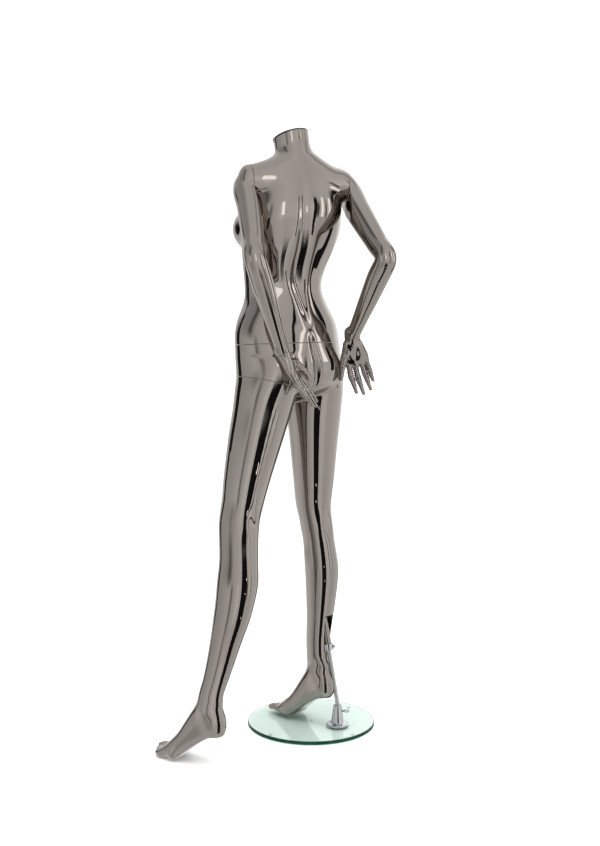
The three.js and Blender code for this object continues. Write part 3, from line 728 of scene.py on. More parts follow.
def settled(field, p):
    """Moves points onto the form."""
    for _ in range(3):
        g = slope(field, p)
        move = field(p) / np.maximum((g * g).sum(1), 0.2)
        p = p - np.clip(move, -2.5, 2.5)[:, None] * g
    return p


def frame_of(at, way):
    """Matrix that stands +Z on a direction at a place."""
    turn = Vector((0, 0, 1)).rotation_difference(Vector(unit(way)))
    return Matrix.Translation(Vector(at)) @ turn.to_matrix().to_4x4()


def mesh_of(bm, matrix=None):
    bmesh.ops.recalc_face_normals(bm, faces=bm.faces)
    if matrix is not None:
        bm.transform(matrix)
    mesh = bpy.data.meshes.new("mesh")
    bm.to_mesh(mesh)
    bm.free()
    return mesh


def added(name, data):
    obj = bpy.data.objects.new(name, data)
    bpy.context.scene.collection.objects.link(obj)
    return obj


def box_cutter(matrix, low, high):
    bm = bmesh.new()
    bmesh.ops.create_cube(bm, size=1)
    low, high = Vector(low), Vector(high)
    return mesh_of(bm, matrix @ Matrix.Translation((low + high) / 2) @ Matrix.Diagonal((*(high - low), 1)))


def block_cutter(at, way, size, offset=0.0):
    """A block whose face lies on a plane; it takes away what is past the plane."""
    half = size / 2
    return box_cutter(frame_of(at, way), (-half, -half, offset), (half, half, size + offset))


def skinned(rings, around=False, matrix=None):
    """Closed mesh over rings of points; a ring of one point is a pole."""
    bm = bmesh.new()
    rows = [[bm.verts.new(p) for p in ring] for ring in rings]
    for low, high in zip(rows, rows[1:] + (rows[:1] if around else []), strict=False):
        sides = max(len(low), len(high))
        for i in range(sides):
            pairs = ((low, i), (low, i + 1), (high, i + 1), (high, i))
            bm.faces.new(dict.fromkeys(row[k % len(row)] for row, k in pairs))
    if not around:
        for end in (rows[0], rows[-1]):
            if len(end) > 1:
                bm.faces.new(end)
    return mesh_of(bm, matrix)


def circle(sides):
    return [(math.cos(2 * math.pi * i / sides), math.sin(2 * math.pi * i / sides)) for i in range(sides)]


def lathe_mesh(profile, sides, matrix=None):
    """Closed mesh of revolution about Z, from a profile that runs from axis to axis or round a ring."""
    rings = [[(r * c, r * s, z) for c, s in (circle(sides) if r else [(0, 0)])] for r, z in profile]
    return skinned(rings, profile[0][0] > 0, matrix)


def rod_cutter(radius, low, high, sides, matrix):
    return lathe_mesh([(0, low), (radius, low), (radius, high), (0, high)], sides, matrix)


def carve(mesh, cutters):
    """The mesh less each cutter, by booleans."""
    holder = added("carve", mesh)
    helpers = [added("cutter", cutter) for cutter in cutters]
    for helper in helpers:
        mod = holder.modifiers.new("cut", "BOOLEAN")
        mod.operation = "DIFFERENCE"
        mod.solver = "MANIFOLD"
        mod.object = helper
    done = bpy.data.meshes.new_from_object(holder.evaluated_get(bpy.context.evaluated_depsgraph_get()))
    for o in [holder, *helpers]:
        bpy.data.objects.remove(o)
    return done


def near_seam(p, at, way, reach, below, above):
    """Which points lie within reach of a seam's middle and between two heights over its plane."""
    height = (p - np.array(at)) @ unit(way)
    return (height > below) & (height < above) & (np.linalg.norm(p - np.array(at), axis=1) < reach)


def add_loops(bm, step, at, way, reach):
    """Cuts edge loops just inside a seam, so that its edge can be rounded."""
    way = Vector(unit(way))
    for back in (0.0, 0.3, 0.75, SEAM_ROUND, 2.6):
        where = Vector(at) - way * back
        around = set()
        for face in bm.faces:
            apart = face.calc_center_median() - where
            if apart.length < reach and abs(apart.dot(way)) < 2 * step:
                around.update([face, *face.edges, *face.verts])
        bmesh.ops.bisect_plane(bm, geom=list(around), plane_co=where, plane_no=way, dist=0.02)


def shell(field, low, high, step, seams, cutters):
    """Meshes a form, cuts it, and rounds the seam edges. Seams are (point, way out of the piece, reach)."""
    low, high = np.array(low, float), np.array(high, float)
    counts = np.ceil((high - low) / step / 4).astype(int) * 4 + 1
    points, quads = surface_net(grid_values(field, low, counts, step), low, step)
    mesh = bpy.data.meshes.new("shell")
    mesh.from_pydata(settled(field, points).tolist(), [], quads.tolist())
    bm = bmesh.new()
    bm.from_mesh(mesh)
    for seam in seams:
        add_loops(bm, step, *seam)
    bm.to_mesh(mesh)
    bm.free()
    return finished(carve(mesh, cutters), field, seams)


def gathered(items, name, width=1, kind=float):
    """One attribute of all the mesh's items, as an array."""
    values = np.zeros(len(items) * width, kind)
    items.foreach_get(name, values)
    return values.reshape(-1, width) if width > 1 else values


def calmed(mesh, normal, free):
    """Evens out the normals between neighbouring free points."""
    a, b = gathered(mesh.edges, "vertices", 2, int).T
    both = free[a] & free[b]
    a, b = a[both], b[both]
    for _ in range(3):
        total = normal.copy()
        np.add.at(total, a, 0.5 * normal[b])
        np.add.at(total, b, 0.5 * normal[a])
        total /= np.maximum(np.linalg.norm(total, axis=1), 1e-6)[:, None]
        normal = np.where(free[:, None], total, normal)
    return normal


def rounded(p, normal, outer, at, way, reach, moved, shaded):
    """Draws the points near one seam inward along a quarter circle, and leans their normals with it."""
    way = unit(way)
    near = outer & near_seam(p, at, way, reach, -SEAM_ROUND, 0.8)
    level = normal - (normal @ way)[:, None] * way
    level /= np.maximum(np.linalg.norm(level, axis=1), 1e-6)[:, None]
    rest = np.clip(SEAM_ROUND + (p - np.array(at)) @ way, 0, SEAM_ROUND)
    drop = SEAM_ROUND - np.sqrt(np.maximum(SEAM_ROUND**2 - rest**2, 0))
    moved[near] -= (level * drop[:, None])[near]
    lean = (rest / SEAM_ROUND)[:, None]
    shaded[near] = (normal * np.sqrt(np.maximum(1 - lean**2, 0)) + way * lean)[near]


def finished(mesh, field, seams):
    """Rounds the cut mesh's seam edges and gives its outer faces the form's normals."""
    p = gathered(mesh.vertices, "co", 3)
    g = slope(field, p, 1.8)
    size = np.linalg.norm(g, axis=1)
    outer = np.abs(field(p)) / np.maximum(size, 0.3) < 0.6
    normal = g / np.maximum(size, 1e-6)[:, None]
    free = outer.copy()
    for at, way, reach in seams:
        free &= ~near_seam(p, at, way, reach, -4, 4)
    normal = calmed(mesh, normal, free)
    moved, shaded = p.copy(), normal.copy()
    for seam in seams:
        rounded(p, normal, outer, *seam, moved, shaded)
    shaded /= np.maximum(np.linalg.norm(shaded, axis=1), 1e-6)[:, None]
    mesh.vertices.foreach_set("co", (moved * MM).ravel())
    mesh.update()
    loops = gathered(mesh.loops, "vertex_index", 1, int)
    sizes = gathered(mesh.polygons, "loop_total", 1, int)
    owner = np.repeat(np.arange(len(sizes)), sizes)
    face_normal = gathered(mesh.polygons, "normal", 3)[owner]
    whole = np.ones(len(sizes), bool)
    np.logical_and.at(whole, owner, outer[loops])
    use = outer[loops] & ((face_normal * normal[loops]).sum(1) > 0.35) & whole[owner]
    mesh.polygons.foreach_set("use_smooth", np.ones(len(sizes), bool))
    mesh.normals_split_custom_set(np.where(use[:, None], shaded[loops], face_normal).tolist())
    return mesh


def piece(name, mesh, node, body, material):
    mesh.name = name
    mesh.materials.clear()
    mesh.materials.append(material)
    obj = added(name, mesh)
    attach(obj, body)
    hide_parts(node)


# ---- materials ----
def nodes_of(material):
    material.use_nodes = True
    tree = material.node_tree
    shader = next(n for n in tree.nodes if n.type == "BSDF_PRINCIPLED")
    return tree, shader


def noise(tree, scale, detail=3.0, distortion=0.0, stretch=(1, 1, 1)):
    coords = tree.nodes.new("ShaderNodeTexCoord")
    mapping = tree.nodes.new("ShaderNodeMapping")
    mapping.inputs["Scale"].default_value = stretch
    texture = tree.nodes.new("ShaderNodeTexNoise")
    texture.inputs["Scale"].default_value = scale
    texture.inputs["Detail"].default_value = detail
    texture.inputs["Distortion"].default_value = distortion
    tree.links.new(coords.outputs["Object"], mapping.inputs["Vector"])
    tree.links.new(mapping.outputs["Vector"], texture.inputs["Vector"])
    return texture.outputs["Fac"]


def ranged(tree, source, low, high, to_low, to_high):
    node = tree.nodes.new("ShaderNodeMapRange")
    node.interpolation_type = "SMOOTHSTEP"
    for key, value in (("From Min", low), ("From Max", high), ("To Min", to_low), ("To Max", to_high)):
        node.inputs[key].default_value = value
    tree.links.new(source, node.inputs["Value"])
    return node.outputs["Result"]


def tinted(tree, source, first, second):
    ramp = tree.nodes.new("ShaderNodeValToRGB")
    ramp.color_ramp.elements[0].position = 0.3
    ramp.color_ramp.elements[1].position = 0.7
    ramp.color_ramp.elements[0].color = (*first, 1)
    ramp.color_ramp.elements[1].color = (*second, 1)
    tree.links.new(source, ramp.inputs["Fac"])
    return ramp.outputs["Color"]


def bumped(tree, shader, source, distance):
    bump = tree.nodes.new("ShaderNodeBump")
    bump.inputs["Strength"].default_value = 1.0
    bump.inputs["Distance"].default_value = distance
    tree.links.new(source, bump.inputs["Height"])
    tree.links.new(bump.outputs["Normal"], shader.inputs["Normal"])


def metal(name, first, second, smooth, smudged, grain=None, bump=(60, 0.00002)):
    """Metal with slow colour drift, wiped smudges in its gloss and a faint waviness."""
    material = bpy.data.materials.new(name)
    tree, shader = nodes_of(material)
    shader.inputs["Metallic"].default_value = 1.0
    tree.links.new(tinted(tree, noise(tree, 4.0, 2.0), first, second), shader.inputs["Base Color"])
    smudges = noise(tree, 14.0, 5.0, 1.2) if grain is None else noise(tree, grain[0], 4.0, 0.0, grain[1])
    tree.links.new(ranged(tree, smudges, 0.45, 0.75, smooth, smudged), shader.inputs["Roughness"])
    bumped(tree, shader, noise(tree, bump[0], 2.0), bump[1])
    return material


def math_node(tree, operation, first, second=None):
    node = tree.nodes.new("ShaderNodeMath")
    node.operation = operation
    for socket, value in zip(node.inputs, (first, second), strict=False):
        if isinstance(value, float):
            socket.default_value = value
        elif value is not None:
            tree.links.new(value, socket)
    return node.outputs[0]


def blended(tree, share, first, second):
    """Mix of two shaders by a share."""
    node = tree.nodes.new("ShaderNodeMixShader")
    for socket, source in zip(node.inputs, (share, first, second), strict=True):
        tree.links.new(source, socket)
    return node.outputs["Shader"]


def coloured(tree, kind, colour):
    node = tree.nodes.new("ShaderNode" + kind)
    node.inputs["Color"].default_value = (*colour, 1)
    return node


def heights(tree, vector):
    """The Z part of a vector."""
    parts = tree.nodes.new("ShaderNodeSeparateXYZ")
    tree.links.new(vector, parts.inputs["Vector"])
    return parts.outputs["Z"]


def output_of(tree):
    return next(n for n in tree.nodes if n.type == "OUTPUT_MATERIAL")


def make_glass():
    """Clear float glass: light passes through it to the floor, and its upright rim is partly a painted diffuse
    green, the glass's own tint carrying painted light in place of the light that shines through the long edge.
    """
    material = bpy.data.materials.new("float_glass")
    tree, shader = nodes_of(material)
    shader.inputs["Base Color"].default_value = (0.93, 0.955, 0.945, 1)
    shader.inputs["Transmission Weight"].default_value = 1.0
    shader.inputs["IOR"].default_value = 1.5
    smudges = ranged(tree, noise(tree, 30.0, 4.0, 0.6), 0.5, 0.8, 0.0, 0.03)
    tree.links.new(smudges, shader.inputs["Roughness"])
    clear = coloured(tree, "BsdfTransparent", (0.84, 0.88, 0.86))
    # Painted edge light: a diffuse green on the upright rim stands in for the light seen through the glass edge;
    # only its green hue is the glass's own tint
    painted_edge_light = coloured(tree, "BsdfDiffuse", (0.008, 0.085, 0.045))
    absorb = coloured(tree, "VolumeAbsorption", (0.5, 0.93, 0.75))
    absorb.inputs["Density"].default_value = 11.0
    normal = tree.nodes.new("ShaderNodeNewGeometry").outputs["Normal"]
    tilt = math_node(tree, "ABSOLUTE", heights(tree, normal))
    rim = ranged(tree, tilt, 0.3, 0.6, 0.7, 0.0)
    edge = blended(tree, rim, shader.outputs["BSDF"], painted_edge_light.outputs["BSDF"])
    shadow = tree.nodes.new("ShaderNodeLightPath").outputs["Is Shadow Ray"]
    surface = blended(tree, shadow, edge, clear.outputs["BSDF"])
    tree.links.new(surface, output_of(tree).inputs["Surface"])
    tree.links.new(absorb.outputs["Volume"], output_of(tree).inputs["Volume"])
    return material


def make_rubber(name, first, second, rough, clear=0.0):
    material = bpy.data.materials.new(name)
    tree, shader = nodes_of(material)
    tree.links.new(tinted(tree, noise(tree, 80.0, 3.0), first, second), shader.inputs["Base Color"])
    roughness = ranged(tree, noise(tree, 400.0, 3.0), 0.3, 0.7, rough, rough + 0.12)
    tree.links.new(roughness, shader.inputs["Roughness"])
    shader.inputs["Transmission Weight"].default_value = clear
    bumped(tree, shader, noise(tree, 900.0, 2.0), 0.00004)
    return material


CHROME = metal("smoked_chrome", (0.325, 0.292, 0.266), (0.345, 0.312, 0.285), 0.012, 0.035)
CAP_CHROME = metal("cap_mirror", (0.20, 0.225, 0.21), (0.22, 0.245, 0.23), 0.012, 0.03)
BRIGHT = metal("bright_chrome", (0.50, 0.51, 0.53), (0.58, 0.59, 0.60), 0.04, 0.12)
BRUSHED = (600.0, (1, 1, 0.03))  # scale and stretch of grain that runs up the rod
SATIN = metal("satin_nickel", (0.50, 0.52, 0.50), (0.57, 0.59, 0.57), 0.2, 0.32, BRUSHED, (700, 0.00001))
ZINC = metal("zinc_plate", (0.55, 0.55, 0.52), (0.66, 0.66, 0.63), 0.28, 0.45, None, (900, 0.00002))
GLASS = make_glass()
CLEAR = make_rubber("clear_bumper_pvc", (0.80, 0.84, 0.82), (0.86, 0.89, 0.88), 0.2, 0.7)
BLACK = make_rubber("black_gasket_rubber", (0.018, 0.018, 0.018), (0.03, 0.03, 0.03), 0.55)

# ---- the calf fitting's frame: distances run up the slanted rod from its bend ----
FLANGE_AT = (-18, 84)
ROD_BEND = (-18, 84, 70)
ROD_WAY = (0.041, -0.185, 0.982)
ROD_FRAME = frame_of(ROD_BEND, ROD_WAY)
ROD_RADIUS = 6.0
COLLAR = (146, 164)
SOCKET_TOP = 236


def calf_cutters():
    low, high = COLLAR
    return [
        box_cutter(ROD_FRAME, (-15, -10.3, high), (15, 50, SOCKET_TOP + 4)),
        box_cutter(ROD_FRAME, (-15, -14.3, low - 2), (15, 50, high + 0.01)),
        rod_cutter(ROD_RADIUS + 1.5, 40, low, 32, ROD_FRAME),
    ]


# ---- figure ----
def thigh_cutter(grow):
    """Room under the slanted seam and left of the crotch."""
    under = block_cutter(THIGH_AT, [-w for w in THIGH_WAY], 1400, -grow)
    return carve(under, [block_cutter((CROTCH_X - grow, 0, 0), (-1, 0, 0), 3000)])


def build_torso():
    seams = [(HIP_AT, [-w for w in HIP_WAY], 300), (NECK_AT, NECK_WAY, 90)]
    cutters = [
        block_cutter(HIP_AT, [-w for w in HIP_WAY], 900, -GAP / 2),
        block_cutter(NECK_AT, NECK_WAY, 300, -GAP / 2),
    ]
    for side in (1, -1):
        at, way = shoulder_seam(side)
        seams.append((at, way, 80))
        cutters.append(block_cutter(at, way, 132, -GAP / 2))
    mesh = shell(torso_field, (-90, -160, 1030), (270, 160, 1660), SHELL_STEP, seams, cutters)
    piece("torso", mesh, "torso_shell", "torso", CHROME)


def build_lower_body():
    seams = [(HIP_AT, HIP_WAY, 300), (THIGH_AT, [-w for w in THIGH_WAY], 110)]
    cutters = [block_cutter(HIP_AT, HIP_WAY, 900, -GAP / 2), thigh_cutter(GAP / 2), *calf_cutters()]
    mesh = shell(hip_field, (-115, -160, 4), (265, 150, 1080), SHELL_STEP, seams, cutters)
    piece("lower_body", mesh, "lower_body_shell", "lower_body", CHROME)


def build_left_leg():
    seams = [(THIGH_AT, THIGH_WAY, 110)]
    above = block_cutter(THIGH_AT, THIGH_WAY, 900, -GAP / 2)
    inside = block_cutter((CROTCH_X + TWIST_ROOM, 0, 900), (-1, 0, 0), 800)
    mesh = shell(left_leg_field, (60, -180, -6), (460, 130, 1010), SHELL_STEP, seams, [above, inside])
    piece("left_leg", mesh, "left_leg_shell", "left_leg", CHROME)


def build_arm(label, arm, field):
    at, way = shoulder_seam(arm["side"])
    inner = [-w for w in way]
    place, along, _, _ = hand_place(arm)
    wrist = arm["wrist"]
    line = np.array(arm_line(arm)[1:])
    low, high = line.min(0) - 52, line.max(0) + 52
    seams = [(at, inner, 90), (wrist, along, 45)]
    cutters = [block_cutter(at, inner, 260, -GAP / 2), block_cutter(wrist, along, 240, -GAP / 2)]
    mesh = shell(field, low, high, SHELL_STEP * 0.8, seams, cutters)
    piece(f"{label}_arm", mesh, f"{label}_arm_shell", f"{label}_arm", CHROME)
    reach = np.array([place(*p) for f in FINGERS for p in f[:3]] + [place(0, 0, -4)])
    low, high = reach.min(0) - 30, reach.max(0) + 30
    back = [-w for w in along]
    cutters = [block_cutter(wrist, back, 240, -GAP / 2)]
    mesh = shell(field, low, high, HAND_STEP, [(wrist, back, 45)], cutters)
    piece(f"{label}_hand_form", mesh, f"{label}_hand", f"{label}_hand", CHROME)


build_torso()
build_lower_body()
build_left_leg()
build_arm("left", LEFT_ARM, left_arm)
build_arm("right", RIGHT_ARM, right_arm)


# ---- turned and swept hardware ----
def eased(profile, radius=0.6, steps=3):
    """Rounds the corners of a closed profile that runs from axis to axis or round a ring."""
    out = []
    n = len(profile)
    ring = profile[0][0] > 1e-9
    for i, corner in enumerate(profile):
        if not ring and i in (0, n - 1):
            out.append(corner)
            continue
        c = np.array(corner, float)
        a = np.array(profile[i - 1], float)
        b = np.array(profile[(i + 1) % n], float)
        la, lb = np.linalg.norm(a - c), np.linalg.norm(b - c)
        r = min(radius, la * 0.45, lb * 0.45)
        start, end = c + (a - c) / la * r, c + (b - c) / lb * r
        for k in range(steps + 1):
            t = k / steps
            out.append(tuple((1 - t) ** 2 * start + 2 * t * (1 - t) * c + t * t * end))
    return out


def turned(profile, sides=64, matrix=None, radius=0.6):
    return scaled(lathe_mesh(eased(profile, radius), sides, matrix))


def scaled(mesh):
    """Metres, shaded smooth, but with the level faces kept flat right up to their rounded edges."""
    mesh.transform(Matrix.Scale(MM, 4))
    mesh.polygons.foreach_set("use_smooth", np.ones(len(mesh.polygons), bool))
    mesh.set_sharp_from_angle(angle=math.radians(50))
    normals = [corner.vector.copy() for corner in mesh.corner_normals]
    for face in mesh.polygons:
        if abs(face.normal.z) > 0.9999:
            for i in face.loop_indices:
                normals[i] = face.normal.copy()
    mesh.normals_split_custom_set(normals)
    return mesh


def sweep_mesh(points, radius, sides):
    """Round bar along points, closed at both ends."""
    points = np.asarray(points, float)
    rings = []
    for p, way in zip(points, np.gradient(points, axis=0), strict=True):
        x = unit(np.cross(unit(way), (1, 0.3, 0)))
        y = np.cross(unit(way), x)
        rings.append([p + radius * (x * c + y * s) for c, s in circle(sides)])
    return skinned(rings)


def torus_mesh(radius, thick, matrix, around=48, sides=20):
    tube = [(radius + thick * c, thick * s) for c, s in circle(sides)]
    return skinned([[(r * c, y, r * s) for r, y in tube] for c, s in circle(around)], True, matrix)


def joined(*meshes):
    bm = bmesh.new()
    for mesh in meshes:
        bm.from_mesh(mesh)
    return mesh_of(bm)


# Turned profiles, mm: distance from the axis, height
DISC = [(0, 3), (173.2, 3), (175, 4.8), (175, 11.2), (173.2, 13), (0, 13)]
BUMPER = [(0, 0), (4.4, 0), (5.6, 1.1), (6, 2.7), (0, 2.7)]
GASKET = [(5.5, 13.3), (29, 13.3), (29, 14.1), (5.5, 14.1)]
FLANGE = [
    (4.8, 14.4), (31.5, 14.4), (31.5, 17.2), (29.8, 19.0), (24, 19.8), (19.3, 20.9), (17.6, 23.2),
    (14.2, 45), (11.2, 66.8), (10.4, 69), (6.3, 69), (6.3, 28), (4.8, 28),
]
BOLT = [(0, 0.6), (8, 0.6), (8, 1.8), (4.5, 1.8), (4.5, 26), (0, 26)]
WASHER = [(4.8, 2.1), (10.5, 2.1), (10.5, 2.7), (4.8, 2.7)]
SET_SCREW = [(0, 6.8), (2.5, 6.8), (2.5, 14.4), (4.5, 14.4), (4.5, 18.5), (0, 18.5)]
NECK_CAP = [(0, 0.3), (47, 0.3), (50.3, 1.6), (50.4, 3.4), (48.5, 4.5), (0, 4.55)]
DISC_HOLE = 5.5
BORE = 6.3  # of the socket and the collar, round the rod
SCREW_FRAME = frame_of((*FLANGE_AT, 51), (-0.7071, 0.7071, 0))
THREADS, PITCH = 16, 0.5
ROD_FOOT = 28.3  # height of the rod's lower end
ROD_EASE = 3.5  # length of the bend's curve on each side
ROD_LENGTH = 231.4  # above the bend


def build_base():
    at = Matrix.Translation((*FLANGE_AT, 0))
    disc = carve(lathe_mesh(eased(DISC, 0.9, 4), 160), [rod_cutter(DISC_HOLE, 0, 20, 40, at)])
    piece("glass_base", scaled(disc), "glass_disc", "base", GLASS)
    for i in range(1, 6):
        low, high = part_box(f"clear_bumper_{i}")
        x, y = (low.x + high.x) / 2 / MM, (low.y + high.y) / 2 / MM
        mesh = turned(BUMPER, 40, Matrix.Translation((x, y, 0)), 0.5)
        piece(f"bumper_{i}", mesh, f"clear_bumper_{i}", "base", CLEAR)
    piece("gasket", turned(GASKET, 64, at, 0.2), "flange_gasket", "base", BLACK)
    flange = carve(lathe_mesh(eased(FLANGE, 1.1, 4), 96, at), [rod_cutter(3.3, 0, 30, 32, SCREW_FRAME)])
    piece("flange", scaled(flange), "base_flange", "base", BRIGHT)
    piece("bolt", turned(BOLT, 40, at, 0.4), "flange_bolt", "base", ZINC)
    piece("washer", turned(WASHER, 48, at, 0.15), "flange_washer", "base", ZINC)


def build_ring_screw():
    threads = [(0, 6.6)]
    for k in range(THREADS):
        threads += [(3.0, 7.0 + PITCH * k), (2.6, 7.25 + PITCH * k)]
    shank = lathe_mesh([*threads, (3, 15.2), (3, 18.0), (2.4, 19.2), (0, 19.2)], 32, SCREW_FRAME)
    loop = torus_mesh(6, 1.7, SCREW_FRAME @ Matrix.Translation((0, 0, 24.5)))
    piece("ring_screw", scaled(joined(shank, loop)), "thumb_screw", "thumb_screw", BRIGHT)


def build_rod():
    """Upright out of the flange, then on along the slant."""
    bend, way = np.array(ROD_BEND, float), unit(ROD_WAY)
    low, high = bend - UP * ROD_EASE, bend + way * ROD_EASE
    foot = bend - UP * (ROD_BEND[2] - ROD_FOOT)
    curve = [foot + (low - foot) * t for t in np.linspace(0, 1, 12)]
    curve += [(1 - t) ** 2 * low + 2 * t * (1 - t) * bend + t * t * high for t in np.linspace(0.1, 0.9, 9)]
    curve += [bend + way * s for s in np.linspace(ROD_EASE, ROD_LENGTH, 40)]
    piece("rod", scaled(sweep_mesh(curve, ROD_RADIUS - 0.02, 40)), "support_rod", "rod", SATIN)


def build_calf_fitting():
    low, high = COLLAR
    foot, top = high + GAP, SOCKET_TOP
    socket = [(0, top - 4), (BORE, top - 4), (BORE, foot), (10, foot), (10, top), (0, top)]
    mesh = turned(socket, 64, ROD_FRAME, 0.7)
    piece("socket_tube", mesh, "calf_socket", "lower_body", CHROME)
    screw_way = ROD_FRAME @ frame_of((0, 0, 155), (-0.5, 0.866, 0))
    collar = lathe_mesh(eased([(BORE, low), (14, low), (14, high), (BORE, high)], 1.0), 64, ROD_FRAME)
    mesh = scaled(carve(collar, [rod_cutter(2.8, 0, 20, 24, screw_way)]))
    piece("collar", mesh, "calf_collar", "lower_body", BRIGHT)
    hexagon = rod_cutter(2.2, 15.6, 20, 6, screw_way)
    mesh = scaled(carve(lathe_mesh(eased(SET_SCREW, 0.5), 40, screw_way), [hexagon]))
    piece("collar_screw", mesh, "calf_set_screw", "set_screw", BRIGHT)


def build_neck_cap():
    mesh = turned(NECK_CAP, 128, frame_of(NECK_AT, NECK_WAY), 0.5)
    piece("cap_disc", mesh, "neck_cap", "torso", CAP_CHROME)


build_base()
build_ring_screw()
build_rod()
build_calf_fitting()
build_neck_cap()

# The hidden fittings keep their CAD shape
for name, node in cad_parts.items():
    if not node.hide_render:
        node.data.materials.clear()
        node.data.materials.append(ZINC)


# ---- studio ----
def make_floor():
    bm = bmesh.new()
    bmesh.ops.create_grid(bm, x_segments=8, y_segments=8, size=12)
    mesh = bpy.data.meshes.new("floor")
    bm.to_mesh(mesh)
    bm.free()
    floor = added("floor", mesh)
    material = bpy.data.materials.new("pale_floor")
    tree, shader = nodes_of(material)
    shader.inputs["Roughness"].default_value = 0.6
    pale = tinted(tree, noise(tree, 3.0), (0.93, 0.93, 0.93), (0.95, 0.95, 0.95))
    tree.links.new(pale, shader.inputs["Base Color"])
    mesh.materials.append(material)
    floor.visible_glossy = False


# The studio around the object, by azimuth in degrees: tones of its walls, flags and lamps.
# First what lies below eye level, then what lies level, then what lies overhead.
UNDER_BANDS = [
    (-180, 1.0), (-100, 0.98), (-86, 0.88), (-72, 0.74), (-60, 0.6), (-38, 0.6), (-25, 0.72), (-10, 0.88),
    (0, 0.95), (14, 0.85), (30, 0.95), (42, 1.05), (60, 0.82), (78, 0.85), (100, 0.95), (126, 1.05),
    (140, 0.9), (147, 0.3), (157, 0.3), (165, 1.2), (180, 1.0),
]
LEVEL_BANDS = [
    (-180, 0.8), (-150, 0.75), (-132, 0.72), (-130.5, 0.02), (-118, 0.02), (-116, 0.68), (-95, 0.7),
    (-70, 0.8), (-48, 0.92), (-38, 0.88), (-34, 0.36), (-29, 0.36), (-24, 0.8), (-8, 0.98), (0, 1.2),
    (8, 1.0), (32, 1.05), (50, 1.2), (52, 0.1), (55, 0.1), (57, 1.05), (69, 1.18), (72.5, 1.08), (74, 0.03),
    (77, 0.03), (78.5, 1.1), (95, 0.95), (125, 0.97), (140, 1.45), (163, 1.4), (180, 0.8),
]
OVER_BANDS = [
    (-180, 0.95), (-150, 1.0), (-128, 0.88), (-116, 0.6), (-66, 0.5), (-58, 0.22), (-50, 0.18), (-44, 0.48),
    (-34, 0.8), (-11, 0.92), (9, 1.02), (45, 0.9), (70, 1.0), (90, 0.96), (97, 0.55), (103, 0.55),
    (109, 0.88), (128, 0.95), (142, 1.45), (163, 1.6), (180, 0.95),
]


def band_ramp(tree, source, bands):
    ramp = tree.nodes.new("ShaderNodeValToRGB")
    elements = ramp.color_ramp.elements
    for i, (degrees, level) in enumerate(bands):
        place = (degrees + 180) / 360
        element = elements[i] if i < 2 else elements.new(place)
        element.position = place
        element.color = (level, level, level, 1)
    tree.links.new(source, ramp.inputs["Fac"])
    return ramp.outputs["Color"]


def mixed(tree, share, first, second):
    """Mix of two colours by a share, where each may be a socket or a grey level."""
    node = tree.nodes.new("ShaderNodeMix")
    node.data_type = "RGBA"
    tree.links.new(share, node.inputs["Factor"])
    for key, value in ((6, first), (7, second)):
        if isinstance(value, float):
            node.inputs[key].default_value = (value, value, value, 1)
        else:
            tree.links.new(value, node.inputs[key])
    return node.outputs[2]


CEILING, GROUND, PLAIN = 0.9, 0.82, 1.5  # tones overhead, underfoot, and as the camera sees the world
VIEW_TURN = math.radians(45)  # the studio's azimuth 0 in the object's own frame


def make_world():
    """The banded studio for reflections; the camera and diffuse light see it plain."""
    world = bpy.data.worlds.new("studio")
    bpy.context.scene.world = world
    world.use_nodes = True
    tree = world.node_tree
    background = next(n for n in tree.nodes if n.type == "BACKGROUND")
    coords = tree.nodes.new("ShaderNodeTexCoord")
    turn = tree.nodes.new("ShaderNodeVectorRotate")
    turn.rotation_type = "Z_AXIS"
    turn.inputs["Angle"].default_value = -VIEW_TURN
    tree.links.new(coords.outputs["Generated"], turn.inputs["Vector"])
    parts = tree.nodes.new("ShaderNodeSeparateXYZ")
    tree.links.new(turn.outputs["Vector"], parts.inputs["Vector"])
    angle = math_node(tree, "ARCTAN2", parts.outputs["Y"], parts.outputs["X"])
    share = math_node(tree, "ADD", math_node(tree, "DIVIDE", angle, 2 * math.pi), 0.5)
    bands = (UNDER_BANDS, LEVEL_BANDS, OVER_BANDS)
    walls, level, over = (band_ramp(tree, share, each) for each in bands)
    blends = [
        (-0.22, -0.06, 0.0, level), (0.16, 0.48, 0.0, over), (0.8, 0.97, 0.0, CEILING), (-0.7, -0.45, 1.0, GROUND),
    ]
    for low, high, start, tone in blends:
        walls = mixed(tree, ranged(tree, parts.outputs["Z"], low, high, start, 1.0 - start), walls, tone)
    path = tree.nodes.new("ShaderNodeLightPath")
    plain = math_node(tree, "MAXIMUM", path.outputs["Is Camera Ray"], path.outputs["Is Diffuse Ray"])
    tree.links.new(mixed(tree, plain, walls, PLAIN), background.inputs["Color"])
    background.inputs["Strength"].default_value = 1.0


def make_card(name, azimuth, distance, width, low, high, level):
    """An upright card beside the object, seen only in reflections; azimuth as in the studio's bands."""
    angle = VIEW_TURN + math.radians(azimuth)
    ahead = Vector((math.cos(angle), math.sin(angle), 0))
    side = Vector((-ahead.y, ahead.x, 0)) * width / 2
    middle = Vector((0.08, 0, 0)) + ahead * distance
    corners = [middle + side * a + Vector((0, 0, z)) for a, z in ((-1, low), (1, low), (1, high), (-1, high))]
    mesh = bpy.data.meshes.new(name)
    mesh.from_pydata([tuple(c) for c in corners], [], [(0, 1, 2, 3)])
    material = bpy.data.materials.new(name)
    material.use_nodes = True
    tree = material.node_tree
    glow = tree.nodes.new("ShaderNodeEmission")
    glow.inputs["Strength"].default_value = level
    clear = tree.nodes.new("ShaderNodeBsdfTransparent")
    height = heights(tree, tree.nodes.new("ShaderNodeTexCoord").outputs["Generated"])
    fade = ranged(tree, height, 0.86, 1.0, 0.0, 1.0)
    surface = blended(tree, fade, glow.outputs["Emission"], clear.outputs["BSDF"])
    tree.links.new(surface, output_of(tree).inputs["Surface"])
    mesh.materials.append(material)
    card = added(name, mesh)
    for kind in ("camera", "diffuse", "transmission", "shadow", "volume_scatter"):
        setattr(card, f"visible_{kind}", False)


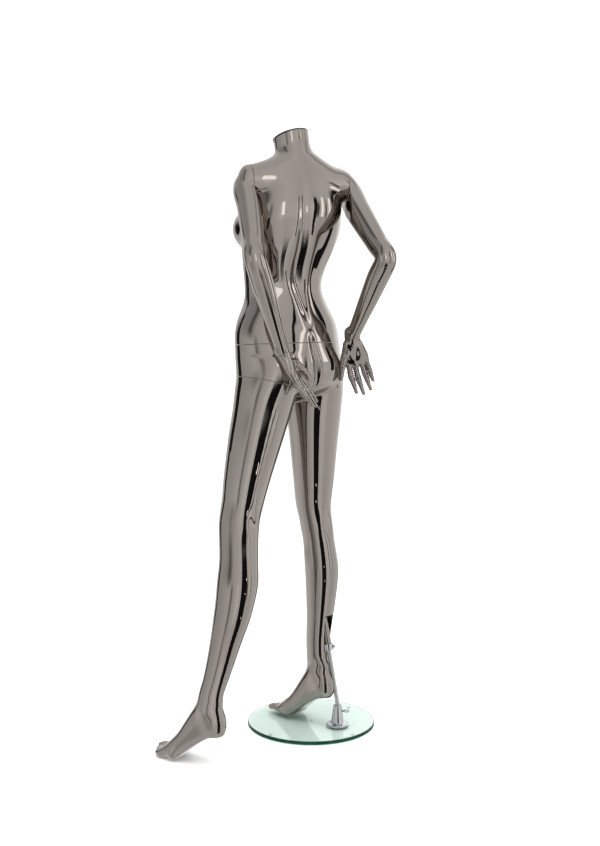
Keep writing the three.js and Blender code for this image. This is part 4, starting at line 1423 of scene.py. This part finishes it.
def make_cards():
    make_card("leg_flag", 17.5, 0.75, 0.37, -0.7, 1.12, 0.015)
    make_card("spine_flag", 46, 0.8, 0.085, 1.0, 1.85, 0.02)
    make_card("leg_lamp_1", 25, 0.72, 0.014, 0.68, 0.72, 7.0)
    make_card("leg_lamp_2", 20, 0.72, 0.014, 0.42, 0.44, 7.0)
    make_card("leg_lamp_3", 22, 0.72, 0.014, 0.2, 0.22, 5.0)
    make_card("right_flag", 97, 0.62, 0.12, 0.95, 1.75, 0.02)
    make_card("left_flag", -104, 0.81, 0.17, 0.85, 1.7, 0.02)
    make_card("left_strip", 3, 1.13, 0.13, 1.33, 1.9, 2.4)
    make_card("right_strip_1", 62, 1.12, 0.11, 1.24, 1.98, 2.4)
    make_card("right_strip_2", 85.5, 1.14, 0.14, 1.2, 1.92, 2.4)


LENS, LENS_SHIFT = 45.1915, -0.07683
EYE_DISTANCE, EYE_HEIGHT, EYE_ASIDE = 2.95, 1.016, 0.0306  # from the disc's middle, metres


def make_camera():
    """A level camera behind the object, to its left."""
    data = bpy.data.cameras.new("camera")
    data.lens = LENS
    data.sensor_width = 36
    data.shift_y = LENS_SHIFT
    camera = added("camera", data)
    toward = Vector((-math.sqrt(0.5), -math.sqrt(0.5), 0))
    right = Vector((-math.sqrt(0.5), math.sqrt(0.5), 0))
    camera.location = -toward * EYE_DISTANCE - right * EYE_ASIDE + Vector((0, 0, EYE_HEIGHT))
    camera.rotation_euler = toward.to_track_quat("-Z", "Y").to_euler()
    bpy.context.scene.camera = camera


def make_top_light():
    data = bpy.data.lights.new("top_light", "AREA")
    data.shape = "RECTANGLE"
    data.size = data.size_y = 2.4
    data.energy = 60
    light = added("top_light", data)
    light.location = (0.4, 0.4, 3.4)
    toward = Vector((0.1, 0, 0)) - light.location
    light.rotation_euler = toward.to_track_quat("-Z", "Y").to_euler()
    light.visible_glossy = False


make_floor()
make_world()
make_cards()
make_camera()
make_top_light()
bpy.context.scene.view_settings.view_transform = "Standard"
bpy.context.scene.view_settings.look = "None"
